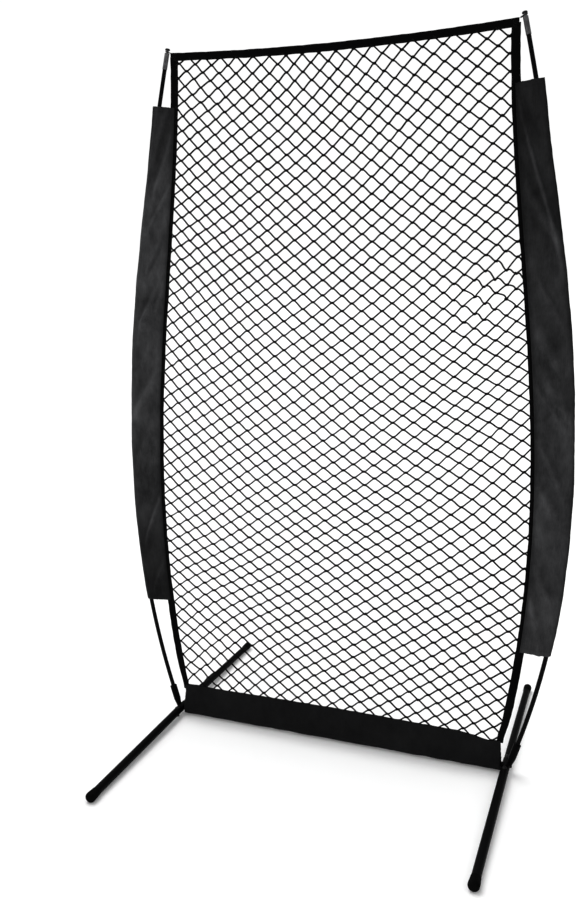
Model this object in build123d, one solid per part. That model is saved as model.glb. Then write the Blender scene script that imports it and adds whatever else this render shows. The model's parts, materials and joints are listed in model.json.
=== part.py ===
from build123d import *
import math
import os

# Bow-frame pitching net.  Millimetres, +Z up, origin on the floor under the middle of the crossbar,
# X across the net (right-hand side positive), front of the net towards -Y.

# ---------------------------------------------------------------- driving dimensions
HUB_X = 550.0            # hub centres, half the base width
HUB_Z = 22.5             # height of the hub tube, crossbar and leg pivots
HUB_HALF = 22.0          # half length of the hub tube
PIVOT_Y = 36.0           # leg pivot bolts in front of and behind the crossbar line
LEG_END_Y = 577.0        # outer end of every foot cap

FRONT_OD, REAR_OD = 25.4, 22.2
WALL = 1.6
FRONT_CAP_R, REAR_CAP_R = 15.5, 13.3
FOOT_FLAT = 0.5          # how much the foot caps are flattened underneath
FOOT_Y = 560.0           # where the caps' full radius touches down

TONGUE_T, TONGUE_W = 5.0, 24.0
WASHER_T, WASHER_OD = 1.0, 20.0
SLOT_H = 7.3
BOLT_D, BOLT_HOLE_D = 8.0, 8.12
SPOT_Z = 11.8            # spot face height above and below the pivot centre

CROSS_OD, CROSS_ID = 20.0, 17.04
STUB_OD, STUB_ID = 16.9, 13.9
STUB_END_X = 480.0
CROSS_END_X = 534.5
CONNECTOR_HALF = 60.0

PIN_R, PIN_HOLE_R = 3.5, 4.35
PIN_TOP = 13.0           # pin top above the tube axis
PIN_ARM = 30.0           # leaf spring bend to pin
PIN_X_SIDE, PIN_X_MID = 506.0, 32.0

# pole centreline: a straight foot and three tangent arcs in the plane y = 0
POLE_X0, POLE_A0 = 559.02, math.radians(16.702)
POLE_STRAIGHT = 85.0
POLE_ARCS = [(665.0, 2520.7), (730.0, 4099.4), (700.0, 8997.8)]
JOINT_1, JOINT_2 = 750.0, 1480.0
POLE_LOW_OD, POLE_OD = 13.0, 12.0
FERRULE_OD, FERRULE_HALF = 15.0, 45.0
SOCKET_OD, SOCKET_ID = 22.0, 17.0
SOCKET_TOP, SOCKET_FLOOR = 78.0, 32.0
POLE_START = 35.0
TIP_START, TIP_SHOULDER, TIP_NECK_END, TIP_END = 2096.0, 2142.4, 2149.2, 2155.4
TIP_OD, NECK_R = 14.0, 4.2
CORD_D = 2.6

# netting and cloth
NET_T = 1.6
BIND_T, BIND_W = 3.0, 22.0
SKIRT_Z, SKIRT_TOP_HALF, SKIRT_BOT_HALF = 112.0, 530.0, 535.4
SKIRT_R, SKIRT_BORE_R = 11.2, 10.35
SLEEVE_Z0, SLEEVE_Z1 = 400.0, 1984.0
SLEEVE_T, SLEEVE_R, SLEEVE_BORE_R = 5.0, 9.1, 7.9
TOP_Z_MID, TOP_SAG, TOP_W = 2120.8, 14.7, 22.0
# half width of the open netting against height (inner edge of the side binding)
NET_EDGE = [(112, 522.5), (150, 531.0), (200, 539.3), (275, 550.7), (350, 560.5), (425, 568.9),
            (500, 575.7), (575, 580.9), (650, 584.6), (725, 586.7), (800, 587.4), (875, 586.7),
            (950, 584.6), (1025, 581.2), (1100, 576.7), (1175, 571.1), (1250, 564.6), (1325, 557.4),
            (1400, 549.5), (1475, 541.3), (1550, 532.8), (1625, 524.4), (1700, 516.2), (1775, 508.5),
            (1850, 501.5), (1925, 495.6), (2000, 491.0), (2075, 488.0), (2136, 487.2)]

os.makedirs("parts", exist_ok=True)


def write(name, shape):
    solids = shape.solids() if hasattr(shape, "solids") else [shape]
    out = solids[0] if len(solids) == 1 else Compound(list(solids))
    export_step(out, f"parts/{name}.step")


def pair(name, right):
    """Write the right-hand piece and its mirror image."""
    write(name + "_right", right)
    write(name + "_left", mirror(right, about=Plane.YZ))


def cyl(p, q, r):
    """Round bar from p to q."""
    p, q = Vector(*p), Vector(*q)
    return extrude(Plane(origin=p, z_dir=q - p) * Circle(r), amount=(q - p).length)


def block(x0, x1, y0, y1, z0, z1):
    return Pos((x0 + x1) / 2, (y0 + y1) / 2, (z0 + z1) / 2) * Box(x1 - x0, y1 - y0, z1 - z0)


def edge_at(table, z):
    for (za, xa), (zb, xb) in zip(table, table[1:]):
        if z <= zb:
            return xa + (xb - xa) * (z - za) / (zb - za)
    return table[-1][1]


# ---------------------------------------------------------------- pole centreline
def pole_at(s):
    """Point and tangent of the right-hand pole's centreline at arc length s."""
    x, z, a = POLE_X0, HUB_Z, POLE_A0
    if s <= POLE_STRAIGHT:
        return Vector(x + s * math.sin(a), 0, z + s * math.cos(a)), a
    x, z = x + POLE_STRAIGHT * math.sin(a), z + POLE_STRAIGHT * math.cos(a)
    left = s - POLE_STRAIGHT
    for length, radius in POLE_ARCS:
        step = min(left, length)
        b = a - step / radius
        x, z = x + radius * (math.cos(b) - math.cos(a)), z + radius * (math.sin(a) - math.sin(b))
        a, left = b, left - step
        if left <= 0:
            break
    return Vector(x, 0, z), a


def pole_wire(s0, s1):
    stops, total = [s0], POLE_STRAIGHT
    marks = [POLE_STRAIGHT]
    for length, _ in POLE_ARCS:
        total += length
        marks.append(total)
    stops += [m for m in marks if s0 + 0.5 < m < s1 - 0.5] + [s1]
    edges = []
    for a, b in zip(stops, stops[1:]):
        p, q = pole_at(a)[0], pole_at(b)[0]
        if b <= POLE_STRAIGHT + 0.001:
            edges.append(Edge.make_line(p, q))
        else:
            edges.append(Edge.make_three_point_arc(p, pole_at((a + b) / 2)[0], q))
    return Wire(edges)


def pole_bar(s0, s1, r):
    p, a = pole_at(s0)
    plane = Plane(origin=p, z_dir=Vector(math.sin(a), 0, math.cos(a)))
    return sweep(plane * Circle(r), path=pole_wire(s0, s1))


def pole_revolve(profile, s_at):
    """Solid of revolution about the pole's tangent at s_at; profile is (radius, s) pairs."""
    p, a = pole_at(s_at)
    t = Vector(math.sin(a), 0, math.cos(a))
    pts = [(r, s - s_at) for r, s in profile]
    pts = [(0, pts[0][1])] + pts + [(0, pts[-1][1])]
    face = make_face(Polyline(*pts, close=True))
    body = revolve(Plane.XZ * face, axis=Axis.Z)
    return Plane(origin=p, z_dir=t) * body


def pole_x(z):
    lo, hi = 0.0, 2180.0
    for _ in range(40):
        mid = (lo + hi) / 2
        if pole_at(mid)[0].Z < z:
            lo = mid
        else:
            hi = mid
    return pole_at(lo)[0].X


# ---------------------------------------------------------------- hubs
def make_hub():
    tube = cyl((HUB_X, -HUB_HALF, HUB_Z), (HUB_X, HUB_HALF, HUB_Z), FRONT_OD / 2)
    socket = pole_revolve([(7.6, 0), (7.6, 9), (SOCKET_OD / 2, 30), (SOCKET_OD / 2, SOCKET_TOP - 0.8),
                           (SOCKET_OD / 2 - 0.8, SOCKET_TOP)], 0.0)
    stub = cyl((HUB_X - 10, 0, HUB_Z), (STUB_END_X, 0, HUB_Z), STUB_OD / 2)
    body = tube + socket + stub
    body -= cyl((HUB_X, -HUB_HALF - 1, HUB_Z), (HUB_X, HUB_HALF + 1, HUB_Z), FRONT_OD / 2 - WALL)
    p, a = pole_at(SOCKET_FLOOR)
    q, _ = pole_at(SOCKET_TOP + 3)
    body -= cyl((p.X, 0, p.Z), (q.X, 0, q.Z), SOCKET_ID / 2)
    body -= cyl((HUB_X - 9, 0, HUB_Z), (STUB_END_X - 1, 0, HUB_Z), STUB_ID / 2)
    plate = block(HUB_X - TONGUE_W / 2, HUB_X + TONGUE_W / 2, -PIVOT_Y, PIVOT_Y,
                  HUB_Z - TONGUE_T / 2, HUB_Z + TONGUE_T / 2)
    # the welded plate fills the tube's bore and ends in a round tongue at each pivot
    inner = cyl((HUB_X, -HUB_HALF, HUB_Z), (HUB_X, HUB_HALF, HUB_Z), FRONT_OD / 2 - WALL / 2)
    plate = (plate & inner) + (plate - block(HUB_X - 30, HUB_X + 30, -HUB_HALF, HUB_HALF, 0, 60))
    for y in (-PIVOT_Y, PIVOT_Y):
        plate += Pos(HUB_X, y, HUB_Z) * Cylinder(TONGUE_W / 2, TONGUE_T)
    body += plate
    for y in (-PIVOT_Y, PIVOT_Y):
        body -= Pos(HUB_X, y, HUB_Z) * Cylinder(BOLT_HOLE_D / 2, 40)
    body -= Pos(PIN_X_SIDE, 0, HUB_Z + 8) * Cylinder(PIN_HOLE_R, 8)
    return body


# ---------------------------------------------------------------- legs
def make_leg(sign, od, cap_r):
    """Leg tube with its welded fork, running towards sign * Y."""
    r = od / 2
    foot_z = cap_r - FOOT_FLAT
    slope = (foot_z - HUB_Z) / (FOOT_Y - PIVOT_Y)

    def at(y):                       # axis point at distance y in front of the hub line
        return (HUB_X, sign * y, HUB_Z + slope * (y - PIVOT_Y))

    fork_end = 50.0 if od > 24 else 49.5
    tube_end = LEG_END_Y - 5.0
    leg = cyl(at(PIVOT_Y - 16), at(tube_end), r)
    leg -= cyl(at(PIVOT_Y + 44), at(tube_end + 2), r - WALL)
    round_r = 12.7
    ends = block(HUB_X - 20, HUB_X + 20, -17, 0, HUB_Z - 20, HUB_Z + 20)
    ends -= Pos(HUB_X, -17, HUB_Z) * Cylinder(round_r, 60)
    keep_y = PIVOT_Y - 17
    leg -= Pos(0, 0, 0) * (Pos(0, -(PIVOT_Y - 17), 0) * ends if sign < 0
                           else mirror(Pos(0, -(PIVOT_Y - 17), 0) * ends, about=Plane.XZ))
    y0, y1 = sorted((sign * (PIVOT_Y - 20), sign * fork_end))
    leg -= block(HUB_X - 20, HUB_X + 20, y0, y1, HUB_Z - SLOT_H / 2, HUB_Z + SLOT_H / 2)
    leg -= Pos(HUB_X, sign * PIVOT_Y, HUB_Z) * Cylinder(BOLT_HOLE_D / 2, 60)
    spot = min(SPOT_Z, r - 0.9)
    for zs in (1, -1):
        leg -= Pos(HUB_X, sign * PIVOT_Y, HUB_Z + zs * (spot + 5)) * Cylinder(8.2, 10)
    return leg, at, spot


def make_foot_cap(at, sign, od, cap_r):
    """Rubber cap: a flared cup with a domed end, slightly flattened underneath."""
    r = od / 2
    start = Vector(*at(LEG_END_Y - 40))
    end = Vector(*at(LEG_END_Y))
    length = (end - start).length
    z_dir = (end - start).normalized()
    lip = r + 1.3
    with BuildSketch(Plane.XZ) as sk:
        with BuildLine():
            Line((0, 0), (lip - 0.5, 0))
            Line((lip - 0.5, 0), (lip, 0.8))
            Line((lip, 0.8), (lip + 0.2, 8))
            Spline((lip + 0.2, 8), (cap_r - 0.15, 22), (cap_r, 29),
                   tangents=((0.05, 1), (0.0, 1)))
            ThreePointArc((cap_r, 29), (cap_r - 2.6, length - 3.6), (cap_r - 9, length))
            Line((cap_r - 9, length), (0, length))
            Line((0, length), (0, 0))
        make_face()
    cap = revolve(sk.sketch, axis=Axis.Z)
    cap = Plane(origin=start, z_dir=z_dir) * cap
    cap -= block(HUB_X - 30, HUB_X + 30, -700, 700, -20, 0)
    a, b = Vector(*at(LEG_END_Y - 45)), Vector(*at(LEG_END_Y - 5.0))
    cap -= cyl((a.X, a.Y, a.Z), (b.X, b.Y, b.Z), r)
    return cap


bolts, nuts, washers = [], [], []
for sign, od, cap_r, word in ((-1, FRONT_OD, FRONT_CAP_R, "front"), (1, REAR_OD, REAR_CAP_R, "rear")):
    leg, at, spot = make_leg(sign, od, cap_r)
    pair(word + "_leg", leg)
    pair(word + "_foot_cap", make_foot_cap(at, sign, od, cap_r))
    top, low = HUB_Z + spot + 0.06, HUB_Z - spot - 0.06
    for side in (1, -1):
        x, y = side * HUB_X, sign * PIVOT_Y
        nut_h = 5.4
        shank = cyl((x, y, low - nut_h - 0.9), (x, y, top + 0.5), BOLT_D / 2)
        head = Pos(x, y, top) * revolve(Plane.XZ * make_face(Polyline(
            (0, 0), (7.4, 0), (7.4, 0.9), (6.4, 2.1), (4.4, 3.0), (2.4, 3.4), (0, 3.5), close=True)),
            axis=Axis.Z)
        hexa = Pos(x, y, top + 3.6) * extrude(RegularPolygon(2.5, 6), amount=-2.0)
        bolts.append((shank + head) - hexa)
        nut = Pos(x, y, low - nut_h) * extrude(RegularPolygon(7.5, 6), amount=nut_h)
        nut &= Pos(x, y, low - nut_h / 2) * Cylinder(7.2, nut_h)
        nuts.append(nut - cyl((x, y, low - nut_h - 2), (x, y, low + 2), BOLT_D / 2))
        for zc in (HUB_Z + TONGUE_T / 2 + WASHER_T / 2, HUB_Z - TONGUE_T / 2 - WASHER_T / 2):
            washers.append(Pos(x, y, zc) * (Cylinder(WASHER_OD / 2, WASHER_T)
                                            - Cylinder(BOLT_HOLE_D / 2, WASHER_T + 1)))


def group(name, shapes):
    solids = []
    for s in shapes:
        solids += list(s.solids())
    export_step(Compound(solids), f"parts/{name}.step")


group("pivot_bolts", bolts)
group("pivot_nuts", nuts)
group("pivot_washers", washers)
pair("hub", make_hub())


# ---------------------------------------------------------------- crossbar
def bar_section(x0, x1, pins):
    bar = cyl((x0, 0, HUB_Z), (x1, 0, HUB_Z), CROSS_OD / 2)
    bar -= cyl((x0 - 1, 0, HUB_Z), (x1 + 1, 0, HUB_Z), CROSS_ID / 2)
    for x in pins:
        bar -= Pos(x, 0, HUB_Z + 9) * Cylinder(PIN_HOLE_R, 8)
    return bar


write("crossbar_right", bar_section(0.25, CROSS_END_X, (PIN_X_MID, PIN_X_SIDE)))
write("crossbar_left", bar_section(-CROSS_END_X, -0.25, (-PIN_X_SIDE,)))
connector = cyl((-CONNECTOR_HALF, 0, HUB_Z), (CONNECTOR_HALF, 0, HUB_Z), STUB_OD / 2)
connector -= cyl((-CONNECTOR_HALF - 1, 0, HUB_Z), (CONNECTOR_HALF + 1, 0, HUB_Z), STUB_ID / 2)
connector -= Pos(PIN_X_MID, 0, HUB_Z + 8) * Cylinder(PIN_HOLE_R, 8)
write("crossbar_connector", connector)


def snap_clip(x, toward):
    """Leaf clip in a tube end: the arm with its pin, and the lower leaf with the bend.
    toward is +1 when the bend lies at smaller x than the pin."""
    strip, t = 6.0, 0.8
    up, dn = HUB_Z + 5.8, HUB_Z - 5.8           # centre heights of the two leaves
    bx = x - toward * PIN_ARM
    xs = sorted((bx + toward * 0.4, x + toward * 5.0))
    arm = block(xs[0], xs[1], -strip / 2, strip / 2, up - t / 2, up + t / 2)
    top = HUB_Z + PIN_TOP
    pin = Pos(x, 0, (up + top - PIN_R) / 2) * Cylinder(PIN_R, top - PIN_R - up)
    pin += Pos(x, 0, top - PIN_R) * Sphere(PIN_R)
    button = arm + pin
    r_mid = (up - dn) / 2
    bend = Pos(bx, 0, (up + dn) / 2) * Rot(90, 0, 0) * (Cylinder(r_mid + t / 2, strip) - Cylinder(r_mid - t / 2, strip + 1))
    half = block(bx, bx + toward * 10, -10, 10, 0, 60) if toward > 0 else block(bx - 10, bx, -10, 10, 0, 60)
    bend -= half
    xs = sorted((bx - toward * 0.01, x + toward * 8.0))
    leaf = bend + block(xs[0], xs[1], -strip / 2, strip / 2, dn - t / 2, dn + t / 2)
    return button, leaf


for name, x, toward in (("right", PIN_X_SIDE, 1), ("left", -PIN_X_SIDE, -1), ("centre", PIN_X_MID, 1)):
    button, leaf = snap_clip(x, toward)
    write("snap_button_" + name, button)
    write("snap_spring_" + name, leaf)

# ---------------------------------------------------------------- poles
pair("pole_lower", pole_bar(POLE_START, JOINT_1 - 0.25, POLE_LOW_OD / 2))
pair("pole_middle", pole_bar(JOINT_1 + 0.25, JOINT_2 - 0.25, POLE_OD / 2))
pair("pole_upper", pole_bar(JOINT_2 + 0.25, TIP_SHOULDER - 3.3, POLE_OD / 2))

butt = pole_revolve([(SOCKET_ID / 2 - 0.1, SOCKET_FLOOR), (SOCKET_ID / 2 - 0.1, SOCKET_TOP - 2)], 0.0)
butt -= pole_revolve([(POLE_LOW_OD / 2, POLE_START), (POLE_LOW_OD / 2, SOCKET_TOP + 3)], 0.0)
pair("pole_butt", butt)


def ferrule(s, r_low, r_high):
    outer = pole_bar(s - FERRULE_HALF, s + FERRULE_HALF, FERRULE_OD / 2)
    outer -= pole_bar(s - FERRULE_HALF - 2, s, r_low)
    return outer - pole_bar(s, s + FERRULE_HALF + 2, r_high)


pair("lower_ferrule", ferrule(JOINT_1, POLE_LOW_OD / 2, POLE_OD / 2))
pair("upper_ferrule", ferrule(JOINT_2, POLE_OD / 2, POLE_OD / 2))

tip = pole_bar(TIP_START, TIP_SHOULDER - 3.0, TIP_OD / 2) - pole_bar(TIP_START - 1, TIP_SHOULDER - 3.0, POLE_OD / 2)
tip += pole_revolve([(TIP_OD / 2, TIP_SHOULDER - 3.0), (TIP_OD / 2, TIP_SHOULDER - 0.6),
                     (TIP_OD / 2 - 0.6, TIP_SHOULDER), (NECK_R, TIP_SHOULDER),
                     (NECK_R, TIP_NECK_END), (2.6, TIP_NECK_END), (2.6, TIP_NECK_END + 3.4)], TIP_SHOULDER)
pair("pole_tip", tip)
cap = pole_revolve([(6.6, TIP_NECK_END), (7.2, TIP_NECK_END + 0.6), (7.2, TIP_NECK_END + 3.2),
                    (6.2, TIP_NECK_END + 5.0), (4.0, TIP_NECK_END + 6.0), (1.5, TIP_END)], TIP_SHOULDER)
cap -= pole_revolve([(2.6, TIP_NECK_END - 1), (2.6, TIP_NECK_END + 3.4)], TIP_SHOULDER)
pair("pole_cap", cap)

# corner cord: a loop round the neck of the tip, its two ends sewn into the net's corner
neck_p, neck_a = pole_at((TIP_SHOULDER + TIP_NECK_END) / 2)
drop = math.radians(24.0)
d = Vector(-math.cos(drop), 0, -math.sin(drop))
reach = 10.2
rho = NECK_R + CORD_D / 2 + 0.2
v_end = 2.0
dist = math.hypot(reach, v_end)
ang = math.atan2(v_end, reach) + math.acos(rho / dist)


def loop_pt(u, v):
    return Vector(neck_p.X + d.X * u, v, neck_p.Z + d.Z * u)


ta, tb = (rho * math.cos(ang), rho * math.sin(ang)), (rho * math.cos(ang), -rho * math.sin(ang))
loop = Wire([Edge.make_line(loop_pt(reach, v_end), loop_pt(*ta)),
             Edge.make_three_point_arc(loop_pt(*ta), loop_pt(-rho, 0), loop_pt(*tb)),
             Edge.make_line(loop_pt(*tb), loop_pt(reach, -v_end))])
start = loop_pt(reach, v_end)
cord = sweep(Plane(origin=start, z_dir=loop_pt(*ta) - start) * Circle(CORD_D / 2), path=loop)
pair("corner_cord", cord)


# ---------------------------------------------------------------- netting, bindings and cloth
def slab(points, thick):
    face = make_face(Polyline(*points, close=True))
    return extrude(Plane.XZ * face, amount=thick / 2, both=True)


def top_z(x):
    return TOP_Z_MID + TOP_SAG * (x / 500.0) ** 2


def bind_w(z):
    return BIND_W if z > 200 else 17.0 + (BIND_W - 17.0) * (z - 112.0) / 88.0


top_xs = [-487.2 + i * 974.4 / 24 for i in range(25)]
net_side = [(x, z) for z, x in NET_EDGE if z < 2098]
z_join = top_z(487.4) - TOP_W
net_side.append((edge_at(NET_EDGE, z_join), z_join))
outline = [(x, z) for x, z in net_side]
outline += [(x, top_z(x) - TOP_W) for x in reversed(top_xs[1:-1])]
outline += [(-x, z) for x, z in reversed(net_side)]
write("net_panel", slab(outline, NET_T))

band = [(x, top_z(x)) for x in top_xs] + [(x, top_z(x) - TOP_W) for x in reversed(top_xs)]
write("top_binding", slab(band, BIND_T))

side = [(x, z) for z, x in NET_EDGE] + [(x + bind_w(z), z) for z, x in reversed(NET_EDGE)]
side_zs = [z for z, _ in NET_EDGE]
pair("side_binding", slab(side, BIND_T))


def sleeve_out(z):
    return 12.0 + (10.0 * ((z - 1775.0) / 209.0) ** 1.5 if z > 1775.0 else 0.0)


zs = [SLEEVE_Z0] + [z for z in side_zs if SLEEVE_Z0 + 5 < z < SLEEVE_Z1 - 5] + [SLEEVE_Z1]
inner_line = [(edge_at(NET_EDGE, z) + BIND_W, z) for z in zs]
outer_line = [(pole_x(z) + sleeve_out(z), z) for z in zs]
sleeve = slab(inner_line + outer_line[::-1], SLEEVE_T)
jacket = pole_bar(330.0, 2060.0, SLEEVE_R) & block(400, 800, -30, 30, SLEEVE_Z0, SLEEVE_Z1)
sleeve = sleeve + jacket
sleeve -= pole_bar(320.0, 2070.0, SLEEVE_BORE_R)
pair("sleeve", sleeve)

# skirt: a loop of cloth round the crossbar that closes to a thin edge at the netting
def drop_section(r, half_top, z_top):
    dx, dz = half_top, z_top - HUB_Z
    reach_ = math.hypot(dx, dz)
    beta = math.atan2(dz, dx) - math.acos(r / reach_)
    px, pz = r * math.cos(beta), HUB_Z + r * math.sin(beta)
    poly = make_face(Polyline((px, pz), (half_top, z_top), (-half_top, z_top), (-px, pz), close=True))
    return poly + Pos(0, HUB_Z) * Circle(r)


sec = drop_section(SKIRT_R, 2.0, SKIRT_Z)
bore = drop_section(SKIRT_BORE_R, 0.9, 62.0)
skirt = extrude(Plane.YZ * sec, amount=600, both=True)
skirt -= extrude(Plane.YZ * bore, amount=620, both=True)
trim = extrude(Plane.XZ * make_face(Polyline((-SKIRT_TOP_HALF, SKIRT_Z + 0.01), (SKIRT_TOP_HALF, SKIRT_Z + 0.01),
                                             (SKIRT_BOT_HALF, 0), (-SKIRT_BOT_HALF, 0), close=True)),
               amount=40, both=True)
skirt = skirt & trim
write("skirt", skirt)
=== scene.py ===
import json
import math

import bpy
import numpy as np
from mathutils import Matrix, Vector

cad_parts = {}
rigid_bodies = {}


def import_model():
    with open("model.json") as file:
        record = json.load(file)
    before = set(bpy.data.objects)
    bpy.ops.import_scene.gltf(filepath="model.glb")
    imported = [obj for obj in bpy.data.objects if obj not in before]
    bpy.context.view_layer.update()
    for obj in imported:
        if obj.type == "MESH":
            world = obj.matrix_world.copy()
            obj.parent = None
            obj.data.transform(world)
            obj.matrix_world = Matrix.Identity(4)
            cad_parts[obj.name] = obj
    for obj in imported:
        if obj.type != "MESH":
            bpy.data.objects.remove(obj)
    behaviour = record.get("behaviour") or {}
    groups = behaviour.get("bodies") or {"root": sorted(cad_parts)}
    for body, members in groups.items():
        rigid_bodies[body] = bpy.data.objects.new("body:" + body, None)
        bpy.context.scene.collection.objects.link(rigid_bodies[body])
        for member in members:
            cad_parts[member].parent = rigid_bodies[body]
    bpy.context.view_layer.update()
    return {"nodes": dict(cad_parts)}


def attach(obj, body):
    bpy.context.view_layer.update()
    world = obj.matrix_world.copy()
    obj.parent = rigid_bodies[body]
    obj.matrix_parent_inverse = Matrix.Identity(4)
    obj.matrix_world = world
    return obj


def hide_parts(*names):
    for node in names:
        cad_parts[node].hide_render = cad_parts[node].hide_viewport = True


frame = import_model()
rng = np.random.default_rng(71)
MM = 0.001

# ------------------------------------------------------------------ camera
CAM_AT = (0.8430086, -2.5548539, 1.5115848)
yaw, pitch, roll = (math.radians(a) for a in (-20.96960, 11.48633, -0.55188))
ahead = Vector((math.sin(yaw) * math.cos(pitch), math.cos(yaw) * math.cos(pitch), -math.sin(pitch)))
level = Vector((math.cos(yaw), -math.sin(yaw), 0.0))
above = level.cross(ahead)
right = math.cos(roll) * level + math.sin(roll) * above
up = -math.sin(roll) * level + math.cos(roll) * above
cam_data = bpy.data.cameras.new("camera")
cam_data.lens = 36.158
cam_data.sensor_width = 36.0
cam_data.sensor_fit = "AUTO"
cam_data.clip_start, cam_data.clip_end = 0.02, 200.0
cam = bpy.data.objects.new("camera", cam_data)
bpy.context.scene.collection.objects.link(cam)
cam.matrix_world = Matrix((
    (right.x, up.x, -ahead.x, CAM_AT[0]),
    (right.y, up.y, -ahead.y, CAM_AT[1]),
    (right.z, up.z, -ahead.z, CAM_AT[2]),
    (0, 0, 0, 1)))
bpy.context.scene.camera = cam

# ------------------------------------------------------------------ geometry of the frame, in millimetres
HUB_X, HUB_Z = 550.0, 22.5
POLE_X0, POLE_A0, POLE_STRAIGHT = 559.02, math.radians(16.702), 85.0
POLE_ARCS = ((665.0, 2520.7), (730.0, 4099.4), (700.0, 8997.8))
JOINT_1, JOINT_2, FERRULE_HALF = 750.0, 1480.0, 45.0
TIP_SHOULDER, TIP_NECK_END, NECK_R = 2142.4, 2149.2, 4.2
TOP_Z_MID, TOP_SAG, TOP_W = 2120.8, 14.7, 22.0
BIND_W, BIND_H = 22.0, 1.5
NET_EDGE = np.array([
    (60, 515.5), (112, 522.5), (150, 531.0), (200, 539.3), (275, 550.7), (350, 560.5), (425, 568.9),
    (500, 575.7), (575, 580.9), (650, 584.6), (725, 586.7), (800, 587.4), (875, 586.7),
    (950, 584.6), (1025, 581.2), (1100, 576.7), (1175, 571.1), (1250, 564.6), (1325, 557.4),
    (1400, 549.5), (1475, 541.3), (1550, 532.8), (1625, 524.4), (1700, 516.2), (1775, 508.5),
    (1850, 501.5), (1925, 495.6), (2000, 491.0), (2075, 488.0), (2140, 487.2)], float)


def pole_at(s):
    x, z, a = POLE_X0, HUB_Z, POLE_A0
    if s <= POLE_STRAIGHT:
        return x + s * math.sin(a), z + s * math.cos(a), a
    x, z = x + POLE_STRAIGHT * math.sin(a), z + POLE_STRAIGHT * math.cos(a)
    left = s - POLE_STRAIGHT
    for length, radius in POLE_ARCS:
        step = min(left, length)
        b = a - step / radius
        x, z = x + radius * (math.cos(b) - math.cos(a)), z + radius * (math.sin(a) - math.sin(b))
        a, left = b, left - step
        if left <= 0:
            break
    return x, z, a


_pole = np.array([(*pole_at(s), s) for s in np.arange(0.0, 2160.0, 2.0)])


def pole_x(z):
    return np.interp(z, _pole[:, 1], _pole[:, 0])


def pole_s(z):
    return np.interp(z, _pole[:, 1], _pole[:, 3])


_edge_z = np.arange(60.0, 2141.0, 1.0)
_edge_x = np.interp(_edge_z, NET_EDGE[:, 0], NET_EDGE[:, 1])
_k = np.exp(-np.linspace(-2, 2, 81) ** 2)
_edge_x = np.convolve(np.pad(_edge_x, 40, mode="reflect", reflect_type="odd"), _k / _k.sum(), mode="valid")


def edge_x(z):
    """Half width of the open netting at height z."""
    return np.interp(z, _edge_z, _edge_x)


def bind_w(z):
    return np.where(z > 200, BIND_W, 17.0 + (BIND_W - 17.0) * (np.maximum(z, 112.0) - 112.0) / 88.0)


def top_z(x):
    return TOP_Z_MID + TOP_SAG * (x / 500.0) ** 2


SKIRT_TOP = np.array([
    (-540, 108.5), (-495, 111.0), (-405, 108.5), (-315, 110.0), (-225, 111.5), (-90, 112.2), (0, 113.0),
    (135, 112.4), (270, 110.2), (360, 109.2), (405, 108.6), (450, 102.8), (480, 95.8), (500, 94.2),
    (516, 97.5), (540, 103.0)], float)


def skirt_top(x):
    return np.interp(x, SKIRT_TOP[:, 0], SKIRT_TOP[:, 1])


def waves(count, low, high, seed):
    """A smooth seeded noise of one variable, about +-1."""
    r = np.random.default_rng(seed)
    f = np.exp(r.uniform(math.log(low), math.log(high), count))
    p = r.uniform(0, 2 * math.pi, count)
    w = (f / f.min()) ** -0.45
    w = w / math.sqrt((w ** 2).sum() / 2)
    return lambda t: sum(wi * np.sin(2 * math.pi * t / fi + pi) for wi, fi, pi in zip(w[::-1], f, p)) * 0.6


def waves2(count, low, high, seed, stretch=1.0):
    """A smooth seeded noise of two variables, about +-1; low and high are wavelengths."""
    r = np.random.default_rng(seed)
    f = np.exp(r.uniform(math.log(low), math.log(high), count))
    th = r.uniform(0, math.pi, count)
    p = r.uniform(0, 2 * math.pi, count)
    w = (f / f.max()) ** 0.8
    w = w / math.sqrt((w ** 2).sum() / 2)

    def at(u, v):
        out = 0.0
        for wi, fi, ti, pi in zip(w, f, th, p):
            out = out + wi * np.sin(2 * math.pi * (u * math.cos(ti) + v / stretch * math.sin(ti)) / fi + pi)
        return out * 0.6
    return at


# ------------------------------------------------------------------ mesh helpers
def add_mesh(name, verts_mm, polys, uvs=None, material=None, smooth=True):
    """polys is a list of (n, k) index arrays and uvs a list of (n, k, 2) arrays that match."""
    me = bpy.data.meshes.new(name)
    v = np.asarray(verts_mm, float).reshape(-1, 3) * MM
    polys = [np.asarray(p, np.int32) for p in polys if len(p)]
    idx = np.concatenate([p.ravel() for p in polys]).astype(np.int32)
    sizes = np.concatenate([np.full(len(p), p.shape[1], np.int32) for p in polys])
    starts = np.concatenate([[0], np.cumsum(sizes)[:-1]]).astype(np.int32)
    me.vertices.add(len(v))
    me.vertices.foreach_set("co", v.astype(np.float32).ravel())
    me.loops.add(len(idx))
    me.polygons.add(len(sizes))
    me.polygons.foreach_set("loop_start", starts)
    me.polygons.foreach_set("vertices", idx)
    me.polygons.foreach_set("use_smooth", np.full(len(sizes), smooth, bool))
    me.update(calc_edges=True)
    if uvs is not None:
        uv = np.concatenate([np.asarray(u, np.float32).reshape(-1, 2) for u in uvs if len(u)])
        layer = me.uv_layers.new(name="UVMap")
        layer.data.foreach_set("uv", uv.ravel())
    me.validate()
    ob = bpy.data.objects.new(name, me)
    bpy.context.scene.collection.objects.link(ob)
    if material is not None:
        me.materials.append(material)
    return ob


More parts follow.
